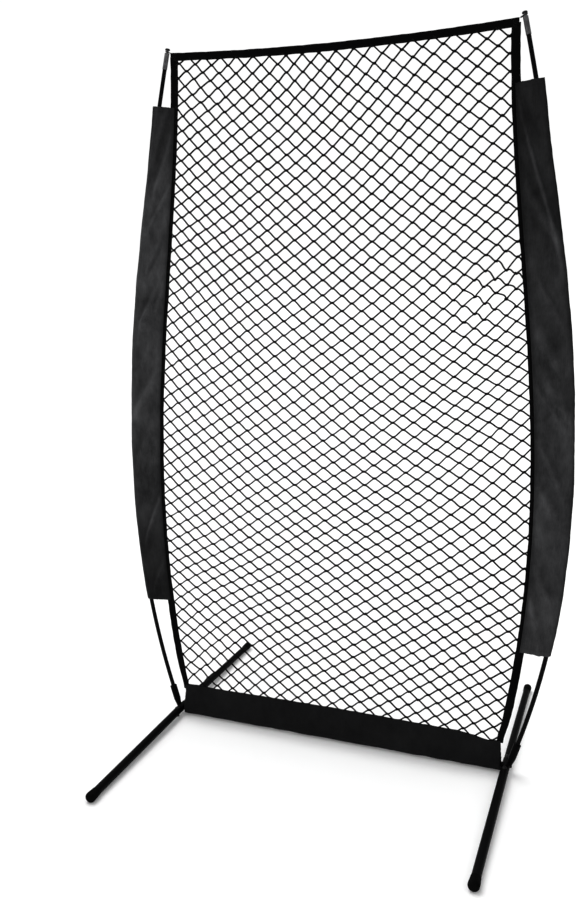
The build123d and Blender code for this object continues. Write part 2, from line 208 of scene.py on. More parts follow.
def tubes(paths, radii, sides, closed=False, ref=(0, 1, 0), pitch=9.0, v0=0):
    """Closed tubes along many paths at once: (verts, polys, uvs). uv is (turns round, length / pitch)."""
    P = np.asarray(paths, float)
    n, m, _ = P.shape
    R = np.broadcast_to(np.asarray(radii, float), (n, m))
    if closed:
        T = np.roll(P, -1, 1) - np.roll(P, 1, 1)
    else:
        T = np.gradient(P, axis=1)
    T = T / np.linalg.norm(T, axis=2, keepdims=True)
    ref = np.broadcast_to(np.asarray(ref, float), T.shape)
    A = ref - (ref * T).sum(2, keepdims=True) * T
    A = A / np.linalg.norm(A, axis=2, keepdims=True)
    B = np.cross(T, A)
    ang = 2 * math.pi * np.arange(sides) / sides
    V = P[:, :, None, :] + R[:, :, None, None] * (np.cos(ang)[None, None, :, None] * A[:, :, None, :]
                                                 + np.sin(ang)[None, None, :, None] * B[:, :, None, :])
    base = v0 + (np.arange(n) * m * sides)[:, None, None]
    rings = m if closed else m - 1
    j = np.arange(rings)[None, :, None]
    k = np.arange(sides)[None, None, :]
    j2, k2 = (j + 1) % m, (k + 1) % sides
    quads = np.stack([base + j * sides + k, base + j * sides + k2,
                      base + j2 * sides + k2, base + j2 * sides + k], -1).reshape(-1, 4)
    seg = np.linalg.norm(np.roll(P, -1, 1) - P, axis=2)
    run = np.concatenate([np.zeros((n, 1)), np.cumsum(seg, 1)], 1) / pitch
    va = run[:, :rings, None] + 0 * k
    vb = run[:, 1:rings + 1, None] + 0 * k
    ua = (k / sides) + 0 * va
    ub = ((k + 1) / sides) + 0 * va
    uv = np.stack([np.stack([ua, va], -1), np.stack([ub, va], -1),
                   np.stack([ub, vb], -1), np.stack([ua, vb], -1)], -2).reshape(-1, 4, 2)
    polys, uvs = [quads], [uv]
    if not closed:
        ks = np.arange(sides)[None, :]
        b2 = v0 + (np.arange(n) * m * sides)[:, None]
        polys += [b2 + ks[:, ::-1], b2 + (m - 1) * sides + ks]
        uvs += [np.zeros((n, sides, 2)), np.zeros((n, sides, 2))]
    return V.reshape(-1, 3), polys, uvs


def grid(V, wrap=False, uv=None):
    """Quads of an (n, m, 3) grid of points; wrap closes it along m."""
    n, m, _ = V.shape
    mm = m if wrap else m - 1
    i = np.arange(n - 1)[:, None]
    j = np.arange(mm)[None, :]
    j2 = (j + 1) % m
    q = np.stack([i * m + j, i * m + j2, (i + 1) * m + j2, (i + 1) * m + j], -1).reshape(-1, 4)
    out_uv = None
    if uv is not None:                       # uv is (n, m or m + 1, 2)
        jn = j + 1
        out_uv = np.stack([uv[i, j], uv[i, jn], uv[i + 1, jn], uv[i + 1, j]], -2).reshape(-1, 4, 2)
    return q, out_uv


def merge(parts):
    """Join (verts, polys, uvs) triples whose indices start at 0."""
    verts, polys, uvs, n = [], [], [], 0
    for v, p, u in parts:
        verts.append(v)
        polys += [q + n for q in p]
        uvs += list(u)
        n += len(v)
    return np.concatenate(verts), polys, uvs


def dress(ob, slot, *nodes, body="base"):
    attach(ob, body)
    if nodes:
        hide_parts(*nodes)
    return ob

# ------------------------------------------------------------------ materials
def shader(name, color, rough, spec=0.35, metallic=0.0):
    m = bpy.data.materials.new(name)
    m.use_nodes = True
    nt = m.node_tree
    b = nt.nodes["Principled BSDF"]
    b.inputs["Base Color"].default_value = (*color, 1)
    b.inputs["Roughness"].default_value = rough
    b.inputs["Specular IOR Level"].default_value = spec
    b.inputs["Metallic"].default_value = metallic
    return m, nt, b


def node(nt, kind, **values):
    n = nt.nodes.new(kind)
    for k, v in values.items():
        if k in n.inputs:
            n.inputs[k].default_value = v
        else:
            setattr(n, k, v)
    return n


def coords(nt, scale=(1, 1, 1), kind="Object", rotate=(0, 0, 0)):
    tc = nt.nodes.new("ShaderNodeTexCoord")
    mp = nt.nodes.new("ShaderNodeMapping")
    mp.inputs["Scale"].default_value = scale
    mp.inputs["Rotation"].default_value = rotate
    nt.links.new(tc.outputs[kind], mp.inputs["Vector"])
    return mp.outputs["Vector"]


def noise(nt, vec, scale, detail=3.0, rough=0.5):
    n = node(nt, "ShaderNodeTexNoise", Scale=scale, Detail=detail, Roughness=rough)
    nt.links.new(vec, n.inputs["Vector"])
    return n.outputs["Fac"]


def ramp(nt, fac, stops):
    r = nt.nodes.new("ShaderNodeValToRGB")
    cr = r.color_ramp
    while len(cr.elements) < len(stops):
        cr.elements.new(0.5)
    for e, (pos, col) in zip(cr.elements, stops):
        e.position = pos
        e.color = (*col, 1) if hasattr(col, "__len__") else (col, col, col, 1)
    nt.links.new(fac, r.inputs["Fac"])
    return r.outputs["Color"]


def maths(nt, op, a, b=None, c=None):
    n = nt.nodes.new("ShaderNodeMath")
    n.operation = op
    for i, x in enumerate((a, b, c)):
        if x is None:
            continue
        if hasattr(x, "is_output"):
            nt.links.new(x, n.inputs[i])
        else:
            n.inputs[i].default_value = x
    return n.outputs[0]


def bump(nt, b, height, distance, strength=1.0, after=None):
    n = node(nt, "ShaderNodeBump", Strength=strength, Distance=distance)
    nt.links.new(height, n.inputs["Height"])
    if after is not None:
        nt.links.new(after, n.inputs["Normal"])
    nt.links.new(n.outputs["Normal"], b.inputs["Normal"])
    return n.outputs["Normal"]


def uv_parts(nt):
    tc = nt.nodes.new("ShaderNodeTexCoord")
    s = nt.nodes.new("ShaderNodeSeparateXYZ")
    nt.links.new(tc.outputs["UV"], s.inputs["Vector"])
    return s.outputs["X"], s.outputs["Y"]


def mat_powder():
    m, nt, b = shader("powder_coated_steel", (0.0025, 0.0025, 0.0028), 0.5, 0.05)
    o = coords(nt)
    big = noise(nt, o, 9.0, 4.0)
    fine = noise(nt, o, 1500.0, 2.0)
    peel = noise(nt, o, 420.0, 2.0, 0.4)
    nt.links.new(ramp(nt, big, [(0.3, (0.0025, 0.0025, 0.0028)), (0.75, (0.0045, 0.0045, 0.0049))]), b.inputs["Base Color"])
    nt.links.new(ramp(nt, peel, [(0.3, 0.42), (0.7, 0.58)]), b.inputs["Roughness"])
    n1 = bump(nt, b, peel, 0.0002, 0.5)
    bump(nt, b, fine, 0.00006, 0.4, n1)
    return m


def mat_rubber():
    m, nt, b = shader("foot_rubber", (0.0035, 0.0035, 0.0035), 0.82, 0.05)
    o = coords(nt)
    scuff = noise(nt, o, 60.0, 6.0, 0.65)
    nt.links.new(ramp(nt, scuff, [(0.42, (0.0028, 0.0028, 0.0028)), (0.78, (0.008, 0.0079, 0.0076))]), b.inputs["Base Color"])
    nt.links.new(ramp(nt, scuff, [(0.3, 0.74), (0.8, 0.92)]), b.inputs["Roughness"])
    n1 = bump(nt, b, noise(nt, o, 700.0, 3.0), 0.0002, 0.5)
    bump(nt, b, scuff, 0.0003, 0.25, n1)
    return m


def mat_fastener():
    m, nt, b = shader("blackened_steel", (0.02, 0.02, 0.021), 0.42, 0.25, 0.6)
    o = coords(nt)
    f = noise(nt, o, 240.0, 4.0)
    nt.links.new(ramp(nt, f, [(0.35, (0.008, 0.008, 0.009)), (0.75, (0.032, 0.031, 0.030))]), b.inputs["Base Color"])
    nt.links.new(ramp(nt, f, [(0.3, 0.3), (0.8, 0.52)]), b.inputs["Roughness"])
    bump(nt, b, noise(nt, o, 1100.0, 2.0), 0.00008, 0.4)
    return m


def mat_nylon():
    m, nt, b = shader("nylon_washer", (0.012, 0.012, 0.013), 0.45, 0.4)
    o = coords(nt)
    f = noise(nt, o, 300.0, 3.0)
    nt.links.new(ramp(nt, f, [(0.3, (0.009, 0.009, 0.010)), (0.8, (0.017, 0.017, 0.018))]), b.inputs["Base Color"])
    bump(nt, b, f, 0.00012, 0.4)
    return m


def mat_spring():
    m, nt, b = shader("spring_steel", (0.42, 0.41, 0.39), 0.3, 0.5, 1.0)
    o = coords(nt, (1, 1, 1))
    grain = noise(nt, coords(nt, (60, 2600, 2600)), 1.0, 3.0)
    f = noise(nt, o, 160.0, 4.0)
    nt.links.new(ramp(nt, f, [(0.3, (0.30, 0.295, 0.28)), (0.75, (0.48, 0.47, 0.45))]), b.inputs["Base Color"])
    nt.links.new(ramp(nt, grain, [(0.3, 0.24), (0.7, 0.42)]), b.inputs["Roughness"])
    bump(nt, b, grain, 0.00005, 0.35)
    return m


def mat_fibreglass():
    m, nt, b = shader("fibreglass_rod", (0.004, 0.004, 0.0045), 0.38, 0.06)
    strands = noise(nt, coords(nt, (1500, 1500, 26)), 1.0, 4.0, 0.6)
    cloud = noise(nt, coords(nt), 34.0, 4.0)
    nt.links.new(ramp(nt, strands, [(0.35, (0.0022, 0.0022, 0.0025)), (0.72, (0.006, 0.006, 0.0066))]), b.inputs["Base Color"])
    nt.links.new(ramp(nt, cloud, [(0.3, 0.32), (0.75, 0.46)]), b.inputs["Roughness"])
    bump(nt, b, strands, 0.00006, 0.45)
    return m


def mat_tip():
    m, nt, b = shader("brushed_tip", (0.15, 0.15, 0.155), 0.42, 0.5, 0.9)
    turned = noise(nt, coords(nt, (40, 40, 2600)), 1.0, 3.0, 0.6)
    cloud = noise(nt, coords(nt), 90.0, 4.0)
    nt.links.new(ramp(nt, cloud, [(0.3, (0.10, 0.10, 0.103)), (0.75, (0.21, 0.21, 0.215))]), b.inputs["Base Color"])
    nt.links.new(ramp(nt, turned, [(0.3, 0.34), (0.75, 0.52)]), b.inputs["Roughness"])
    bump(nt, b, turned, 0.00005, 0.5)
    return m


def mat_ferrule():
    m, nt, b = shader("ferrule_steel", (0.30, 0.30, 0.31), 0.4, 0.5, 1.0)
    drawn = noise(nt, coords(nt, (1600, 1600, 30)), 1.0, 3.0, 0.6)
    nt.links.new(ramp(nt, drawn, [(0.3, (0.22, 0.22, 0.225)), (0.75, (0.36, 0.36, 0.37))]), b.inputs["Base Color"])
    nt.links.new(ramp(nt, drawn, [(0.3, 0.32), (0.75, 0.5)]), b.inputs["Roughness"])
    bump(nt, b, drawn, 0.00005, 0.4)
    return m


def mat_cap():
    m, nt, b = shader("cap_plastic", (0.008, 0.008, 0.009), 0.4, 0.35)
    o = coords(nt)
    f = noise(nt, o, 500.0, 3.0)
    nt.links.new(ramp(nt, f, [(0.3, (0.006, 0.006, 0.007)), (0.8, (0.012, 0.012, 0.013))]), b.inputs["Base Color"])
    nt.links.new(ramp(nt, f, [(0.3, 0.34), (0.8, 0.5)]), b.inputs["Roughness"])
    bump(nt, b, f, 0.00008, 0.4)
    return m


def mat_twine():
    """Twisted twine: the UV's u is one turn round it and v is its length in pitches."""
    m, nt, b = shader("netting_twine", (0.0025, 0.0025, 0.0027), 0.75, 0.08)
    u, v = uv_parts(nt)
    ang = maths(nt, "MULTIPLY", maths(nt, "ADD", maths(nt, "MULTIPLY", u, 3.0), maths(nt, "MULTIPLY", v, 3.0)), 2 * math.pi)
    lay = maths(nt, "ABSOLUTE", maths(nt, "SINE", maths(nt, "MULTIPLY", ang, 0.5)))
    o = coords(nt)
    fuzz = noise(nt, o, 2600.0, 2.0)
    big = noise(nt, o, 14.0, 3.0)
    # the colour darker in the grooves between the plies, where the bump is low (painted shade in the grooves), times
    # random tone
    tone = maths(nt, "MULTIPLY", maths(nt, "ADD", maths(nt, "MULTIPLY", lay, 0.6), 0.4), maths(nt, "ADD", maths(nt, "MULTIPLY", big, 0.8), 0.6))
    nt.links.new(ramp(nt, tone, [(0.15, (0.0012, 0.0012, 0.0013)), (0.95, (0.0055, 0.0055, 0.006))]), b.inputs["Base Color"])
    n1 = bump(nt, b, lay, 0.0009, 0.8)
    bump(nt, b, fuzz, 0.00015, 0.5, n1)
    b.inputs["Sheen Weight"].default_value = 0.012
    b.inputs["Sheen Roughness"].default_value = 0.5
    return m


def weave_height(nt, u, v, p, q, twill=0.0):
    """Interlaced threads: p and q are threads per metre across and along."""
    a = maths(nt, "MULTIPLY", u, p * math.pi)
    c = maths(nt, "MULTIPLY", v, q * math.pi)
    if twill:
        a = maths(nt, "ADD", a, maths(nt, "MULTIPLY", c, twill))
    sa = maths(nt, "SINE", a)
    sc = maths(nt, "SINE", c)
    warp = maths(nt, "MULTIPLY", maths(nt, "ABSOLUTE", sa), maths(nt, "ADD", maths(nt, "MULTIPLY", sc, 0.5), 0.5))
    weft = maths(nt, "MULTIPLY", maths(nt, "ABSOLUTE", sc), maths(nt, "SUBTRACT", 0.5, maths(nt, "MULTIPLY", sa, 0.5)))
    return maths(nt, "MAXIMUM", warp, weft)


def mat_webbing():
    """Woven tape: UV in metres, u across it and v along it."""
    m, nt, b = shader("webbing_tape", (0.0018, 0.0018, 0.002), 0.82, 0.06)
    u, v = uv_parts(nt)
    h = weave_height(nt, u, v, 620.0, 820.0)
    rib = maths(nt, "ABSOLUTE", maths(nt, "SINE", maths(nt, "MULTIPLY", u, 2 * math.pi * 155.0)))
    o = coords(nt)
    big = noise(nt, o, 22.0, 4.0)
    # the colour darker where the weave height is low (painted shade in the hollows of the weave), times random tone
    tone = maths(nt, "MULTIPLY", maths(nt, "ADD", maths(nt, "MULTIPLY", h, 0.5), 0.5), maths(nt, "ADD", maths(nt, "MULTIPLY", big, 0.9), 0.5))
    nt.links.new(ramp(nt, tone, [(0.2, (0.0009, 0.0009, 0.001)), (0.95, (0.0034, 0.0034, 0.0037))]), b.inputs["Base Color"])
    n1 = bump(nt, b, h, 0.00045, 0.8)
    n2 = bump(nt, b, rib, 0.0003, 0.5, n1)
    bump(nt, b, noise(nt, o, 2200.0, 2.0), 0.0001, 0.4, n2)
    b.inputs["Sheen Weight"].default_value = 0.015
    b.inputs["Sheen Roughness"].default_value = 0.45
    return m


def mat_cloth(name, low, high, shade=None):
    """Coated oxford cloth: UV in metres, u across the piece and v along it; shade names a point attribute of painted
    shade and highlight, with a little random tone, that scales the colour.
    """
    m, nt, b = shader(name, high, 0.78, 0.10)
    u, v = uv_parts(nt)
    h = weave_height(nt, u, v, 1150.0, 980.0)
    o = coords(nt)
    big = noise(nt, o, 7.0, 5.0, 0.62)
    mid = noise(nt, coords(nt, (1, 1, 0.5)), 55.0, 4.0, 0.6)
    slub = noise(nt, coords(nt, (900, 900, 30)), 1.0, 3.0, 0.6)
    tone = maths(nt, "ADD", maths(nt, "MULTIPLY", big, 0.5), maths(nt, "ADD", maths(nt, "MULTIPLY", mid, 0.28), maths(nt, "MULTIPLY", slub, 0.22)))
    # the colour darker where the weave height is low: painted shade in the hollows of the weave
    tone = maths(nt, "MULTIPLY", tone, maths(nt, "ADD", maths(nt, "MULTIPLY", h, 0.35), 0.72))
    colour = ramp(nt, tone, [(0.30, low), (0.62, high)])
    # the colour is scaled by the shade attribute: painted shade and painted highlight from the mesh
    if shade:
        at = nt.nodes.new("ShaderNodeAttribute")
        at.attribute_name = shade
        painted_light_scale = nt.nodes.new("ShaderNodeVectorMath")
        painted_light_scale.operation = "SCALE"
        nt.links.new(colour, painted_light_scale.inputs[0])
        nt.links.new(at.outputs["Fac"], painted_light_scale.inputs["Scale"])
        colour = painted_light_scale.outputs["Vector"]
    nt.links.new(colour, b.inputs["Base Color"])
    nt.links.new(ramp(nt, mid, [(0.3, 0.70), (0.75, 0.86)]), b.inputs["Roughness"])
    n1 = bump(nt, b, h, 0.00035, 0.7)
    n2 = bump(nt, b, mid, 0.0008, 0.25, n1)
    bump(nt, b, slub, 0.0001, 0.5, n2)
    b.inputs["Sheen Weight"].default_value = 0.05
    b.inputs["Sheen Roughness"].default_value = 0.4
    b.inputs["Sheen Tint"].default_value = (0.9, 0.92, 1.0, 1)
    return m


def mat_thread():
    m, nt, b = shader("sewing_thread", (0.004, 0.004, 0.0043), 0.62, 0.12)
    u, v = uv_parts(nt)
    lay = maths(nt, "ABSOLUTE", maths(nt, "SINE", maths(nt, "MULTIPLY", maths(nt, "ADD", u, v), 6 * math.pi)))
    f = noise(nt, coords(nt), 120.0, 3.0)
    nt.links.new(ramp(nt, f, [(0.3, (0.0022, 0.0022, 0.0024)), (0.75, (0.006, 0.006, 0.0065))]), b.inputs["Base Color"])
    bump(nt, b, lay, 0.0002, 0.6)
    return m


def mat_cord():
    m, nt, b = shader("corner_cord", (0.03, 0.03, 0.031), 0.7, 0.25)
    u, v = uv_parts(nt)
    lay = maths(nt, "ABSOLUTE", maths(nt, "SINE", maths(nt, "MULTIPLY", maths(nt, "ADD", maths(nt, "MULTIPLY", u, 2.0), maths(nt, "MULTIPLY", v, 4.0)), math.pi)))
    f = noise(nt, coords(nt), 500.0, 3.0)
    # the colour darker in the grooves between the strands, where the bump is low (painted shade in the grooves), times
    # random noise
    nt.links.new(ramp(nt, maths(nt, "MULTIPLY", lay, f), [(0.1, (0.012, 0.012, 0.013)), (0.6, (0.055, 0.055, 0.057))]), b.inputs["Base Color"])
    bump(nt, b, lay, 0.0003, 0.6)
    return m


POWDER, RUBBER, FASTENER, NYLON = mat_powder(), mat_rubber(), mat_fastener(), mat_nylon()
SPRING, FIBRE, TIP, FERRULE, CAP = mat_spring(), mat_fibreglass(), mat_tip(), mat_ferrule(), mat_cap()
TWINE, WEBBING, THREAD, CORD = mat_twine(), mat_webbing(), mat_thread(), mat_cord()
# the sleeve colour is scaled by an attribute of painted shade and highlight
SLEEVE_CLOTH = mat_cloth("sleeve_oxford", (0.017, 0.017, 0.0178), (0.082, 0.0825, 0.085), "painted_light_and_tone")
SKIRT_CLOTH = mat_cloth("skirt_oxford", (0.0066, 0.0066, 0.007), (0.021, 0.0212, 0.022))

FINISH = {
    "crossbar": POWDER, "hub": POWDER, "front_leg": POWDER, "rear_leg": POWDER,
    "front_foot_cap": RUBBER, "rear_foot_cap": RUBBER, "pivot_bolts": FASTENER, "pivot_nuts": FASTENER,
    "pivot_washers": NYLON, "snap": SPRING, "pole_butt": CAP, "pole_cap": CAP, "pole_tip": TIP,
    "pole_lower": FIBRE, "pole_middle": FIBRE, "pole_upper": FIBRE,
    "lower_ferrule": FERRULE, "upper_ferrule": FERRULE}
for name, ob in frame["nodes"].items():
    for key in sorted(FINISH, key=len, reverse=True):
        if name.startswith(key):
            for s in ob.material_slots:
                s.material = FINISH[key]
            break

# ------------------------------------------------------------------ the netting's hang
# Control points of the hung mesh: half columns -24..24 by 4 (rows), half rows -52..56 by 6 (columns).
NET_X = [
    [-659, -685, -711, -733, -750, -757, -754, -746, -735, -724, -711, -698, -689, -682, -676, -666, -653, -635, -615],
    [-550, -571, -592, -615, -633, -638, -630, -622, -616, -609, -597, -584, -576, -573, -570, -562, -547, -529, -510],
    [-442, -458, -475, -496, -514, -515, -506, -500, -498, -492, -483, -472, -465, -463, -462, -457, -440, -422, -407],
    [-334, -348, -361, -376, -385, -383, -380, -380, -378, -373, -367, -362, -357, -351, -350, -345, -330, -318, -308],
    [-226, -237, -247, -255, -252, -250, -253, -256, -256, -252, -249, -248, -243, -236, -235, -229, -220, -216, -214],
    [-118, -122, -127, -127, -120, -119, -124, -127, -128, -128, -129, -128, -124, -120, -116, -113, -114, -117, -122],
    [-8, -6, -2, 3, 8, 10, 7, 3, 0, -5, -7, -5, -4, -3, 0, -1, -10, -20, -30],
    [104, 113, 122, 131, 135, 139, 140, 136, 129, 120, 116, 119, 118, 116, 115, 111, 98, 81, 68],
    [220, 232, 244, 255, 261, 266, 271, 268, 257, 245, 239, 238, 238, 234, 229, 221, 206, 190, 176],
    [337, 351, 365, 376, 387, 393, 398, 397, 383, 370, 361, 356, 355, 352, 345, 331, 318, 305, 291],
    [454, 468, 481, 494, 510, 519, 521, 517, 504, 492, 480, 471, 469, 467, 460, 444, 431, 421, 408],
    [571, 584, 598, 612, 627, 636, 637, 631, 620, 608, 596, 586, 581, 578, 570, 557, 545, 535, 525],
    [687, 701, 716, 730, 742, 750, 751, 745, 736, 724, 712, 702, 694, 687, 679, 670, 660, 650, 641],
]
NET_Z = [
    [-114, 29, 171, 312, 452, 591, 729, 866, 1005, 1144, 1283, 1419, 1552, 1680, 1803, 1925, 2045, 2164, 2281],
    [-114, 29, 171, 312, 450, 581, 711, 847, 985, 1122, 1260, 1397, 1531, 1658, 1780, 1906, 2031, 2152, 2273],
    [-113, 28, 170, 313, 449, 570, 692, 829, 966, 1101, 1237, 1374, 1510, 1635, 1757, 1888, 2015, 2139, 2265],
    [-110, 28, 169, 314, 444, 558, 680, 815, 950, 1083, 1216, 1352, 1487, 1611, 1740, 1872, 1998, 2129, 2262],
    [-104, 32, 171, 311, 436, 552, 676, 806, 937, 1068, 1201, 1337, 1466, 1595, 1729, 1856, 1987, 2125, 2261],
    [-97, 40, 175, 305, 429, 552, 676, 801, 927, 1057, 1193, 1324, 1451, 1585, 1718, 1845, 1980, 2121, 2261],
    [-91, 43, 174, 300, 427, 554, 677, 798, 922, 1051, 1187, 1316, 1445, 1578, 1710, 1842, 1978, 2119, 2262],
    [-90, 40, 170, 298, 426, 555, 679, 800, 922, 1051, 1182, 1314, 1447, 1576, 1709, 1846, 1984, 2123, 2263],
    [-93, 37, 167, 299, 428, 554, 682, 806, 931, 1058, 1184, 1316, 1450, 1582, 1715, 1853, 1994, 2130, 2265],
    [-98, 34, 165, 300, 430, 551, 682, 817, 949, 1075, 1196, 1323, 1458, 1592, 1725, 1862, 2001, 2134, 2267],
    [-105, 29, 164, 300, 431, 553, 686, 832, 973, 1100, 1218, 1343, 1474, 1604, 1737, 1873, 2004, 2135, 2266],
    [-111, 25, 161, 297, 430, 562, 700, 848, 992, 1123, 1245, 1368, 1493, 1620, 1750, 1880, 2008, 2137, 2265],
    [-118, 20, 157, 294, 432, 572, 717, 864, 1007, 1143, 1271, 1394, 1515, 1637, 1762, 1887, 2012, 2138, 2264],
]

NET_X, NET_Z = np.array(NET_X, float), np.array(NET_Z, float)
C0, CS, R0, RS = -20.0, 4.0, -46.0, 6.0
TWINE_D = 4.9


def spline(q, q0, qs, n):
    t = (np.asarray(q, float) - q0) / qs
    k = np.clip(np.floor(t).astype(int), 0, n - 4)
    f = t - k
    return k, np.stack([(1 - f) ** 3 / 6, (3 * f ** 3 - 6 * f * f + 4) / 6,
                        (-3 * f ** 3 + 3 * f * f + 3 * f + 1) / 6, f ** 3 / 6], -1)


def net_at(c, r):
    kc, wc = spline(c, C0, CS, NET_X.shape[0])
    kr, wr = spline(r, R0, RS, NET_X.shape[1])
    x = z = 0.0
    for a in range(4):
        for b in range(4):
            w = wc[..., a] * wr[..., b]
            x = x + w * NET_X[kc + a, kr + b]
            z = z + w * NET_Z[kc + a, kr + b]
    return x, z


knots = [(c, r) for r in range(-52, 56) for c in range(-25, 26) if (c + r) % 2 == 0]
kc_, kr_ = np.array(knots).T
kx, kz = net_at(kc_, kr_)
jig = np.random.default_rng(5)


def near(x, z, x0, z0, sx, sz, tilt=0.0):
    """A soft bump, 1 at (x0, z0)."""
    ca, sa = math.cos(tilt), math.sin(tilt)
    u, v = (x - x0) * ca + (z - z0) * sa, -(x - x0) * sa + (z - z0) * ca
    return np.exp(-(u / sx) ** 2 - (v / sz) ** 2)


# where the mesh hangs loose: a pulled fold by the right edge, the upper left corner, and a few small places
loose_r = near(kx, kz, 470, 1440, 75, 130, -0.55)
loose_l = near(kx, kz, -420, 1990, 90, 60) + near(kx, kz, -480, 1575, 60, 60)
loose_b = near(kx, kz, 520, 560, 60, 240) * 0.6 + near(kx, kz, -470, 170, 70, 60)
loose = np.clip(loose_r + loose_l * 0.25 + loose_b * 0.6, 0, 1)
amp = 0.40 + 2.6 * loose
kx = kx + jig.normal(0, 1, len(kx)) * amp
kz = kz + jig.normal(0, 1, len(kz)) * amp
billow = waves2(9, 160, 900, 12)
ky = 3.0 * billow(kx, kz) + jig.normal(0, 0.5, len(kx)) + 7.0 * loose_r * np.sin(kx / 19 + kz / 23)

sky_x = np.clip((edge_x(kz) - np.abs(kx)) / 60.0, 0, 1)
sky_z = np.clip(np.minimum(kz - skirt_top(kx), top_z(kx) - TOP_W - kz) / 60.0, 0, 1)
ky = ky * np.minimum(sky_x, sky_z)


def inside(x, z, grow=0.0):
    return (np.abs(x) < edge_x(z) + grow) & (z > skirt_top(x) - grow) & (z < top_z(x) - TOP_W + grow)


is_in = inside(kx, kz)
index = {k: n for n, k in enumerate(knots)}
bars, kinds = [], []
for (c, r), n in index.items():
    for kind, other in ((0, (c + 1, r + 1)), (1, (c - 1, r + 1))):
        m_ = index.get(other)
        if m_ is not None and (is_in[n] or is_in[m_]):
            bars.append((n, m_))
            kinds.append(kind)
bars, kinds = np.array(bars), np.array(kinds)
K3 = np.stack([kx, ky, kz], -1)
P0, P1 = K3[bars[:, 0]], K3[bars[:, 1]]
# a bar that leaves the open mesh ends under the tape, 7 mm in
ts = np.linspace(0, 1, 41)
S = P0[:, None, :] + (P1 - P0)[:, None, :] * ts[None, :, None]
ok = inside(S[..., 0], S[..., 2])
start_in, end_in = is_in[bars[:, 0]], is_in[bars[:, 1]]
exits = {"top": [], "bottom": [], "left": [], "right": []}


def note_exit(p):
    if p[2] > 2070 and abs(p[0]) < edge_x(p[2]) - 2:
        exits["top"].append(p[0])
    elif p[2] < 125 and abs(p[0]) < edge_x(p[2]) - 2:
        exits["bottom"].append(p[0])
    else:
        exits["right" if p[0] > 0 else "left"].append(p[2])


T0, T1 = np.zeros(len(bars)), np.ones(len(bars))
for n in np.nonzero(~(start_in & end_in))[0]:
    length = np.linalg.norm(P1[n] - P0[n])
    if start_in[n]:
        first = ts[np.argmin(ok[n])] if not ok[n].all() else 1.0
        note_exit(P0[n] + (P1[n] - P0[n]) * first)
        T1[n] = min(1.0, first + 7.0 / length)
    else:
        last = ts[40 - np.argmin(ok[n][::-1])] if not ok[n].all() else 0.0
        note_exit(P0[n] + (P1[n] - P0[n]) * last)
        T0[n] = max(0.0, last - 7.0 / length)
Q0, Q1 = P0 + (P1 - P0) * T0[:, None], P0 + (P1 - P0) * T1[:, None]

# slack shows as a bow or an S in the bar
D = Q1 - Q0
L = np.linalg.norm(D, axis=1)
side = np.stack([-D[:, 2], np.zeros(len(D)), D[:, 0]], -1) / L[:, None]
mid = (Q0 + Q1) / 2
lr = near(mid[:, 0], mid[:, 2], 465, 1440, 70, 120, -0.55)
ll = near(mid[:, 0], mid[:, 2], -420, 1990, 90, 60) + near(mid[:, 0], mid[:, 2], -480, 1575, 60, 60)
lb = near(mid[:, 0], mid[:, 2], 520, 560, 60, 240) * 0.6 + near(mid[:, 0], mid[:, 2], -470, 170, 70, 60)
full = (T1 - T0) > 0.99
short = np.clip(38.0 - L, 0, 5) * full
bow = jig.normal(0, 0.25, len(D)) + np.sign(jig.normal(0, 1, len(D))) * short * 0.12
bow = bow + np.where(kinds == 1, -1.0, 0.35) * 5.0 * lr + jig.normal(0, 1.3, len(D)) * np.clip(0.6 * ll + lb, 0, 1)
ess = jig.normal(0, 0.22, len(D)) + np.where(kinds == 1, 2.6, 0.6) * lr * np.sign(jig.normal(0.6, 1, len(D)))
out = jig.normal(0, 0.5, len(D))
edge_fade = np.clip(L / 30.0, 0, 1)
bow, ess = bow * edge_fade, ess * edge_fade
tt = np.array([0.0, 0.12, 0.25, 0.38, 0.5, 0.62, 0.75, 0.88, 1.0])
# the twine leaves a knot nearly level and turns up between knots
tb = (T0[:, None] + (T1 - T0)[:, None] * tt[None, :])[..., None]
flat_ = np.clip((0.92 - np.abs(P1[:, 2] - P0[:, 2]) / np.maximum(np.abs(P1[:, 0] - P0[:, 0]), 1.0)) / 0.35, 0, 1)
lead = np.stack([np.sign(P1[:, 0] - P0[:, 0]) * np.clip(3.6 + 5.2 * flat_ + jig.normal(0, 0.9, len(D)), 2.5, 10.0),
                 np.zeros(len(D)), jig.normal(0, 0.35, len(D))], -1)[:, None, :]
A0, A3 = P0[:, None, :], P1[:, None, :]
A1, A2 = A0 + lead, A3 - lead
paths = ((1 - tb) ** 3 * A0 + 3 * (1 - tb) ** 2 * tb * A1 + 3 * (1 - tb) * tb ** 2 * A2 + tb ** 3 * A3
         + side[:, None, :] * (bow[:, None] * np.sin(math.pi * tt) + ess[:, None] * np.sin(2 * math.pi * tt))[..., None])
paths[:, :, 1] += out[:, None] * np.sin(math.pi * tt) + 0.5 * np.cos(math.pi * tt) * np.where(kinds == 1, 1, -1)[:, None]
thick = TWINE_D / 2 * (1 + jig.normal(0, 0.03, len(D)))[:, None] * np.ones(len(tt))
bar_part = tubes(paths, thick, 6, ref=(0, 1, 0), pitch=TWINE_D * 2.9)

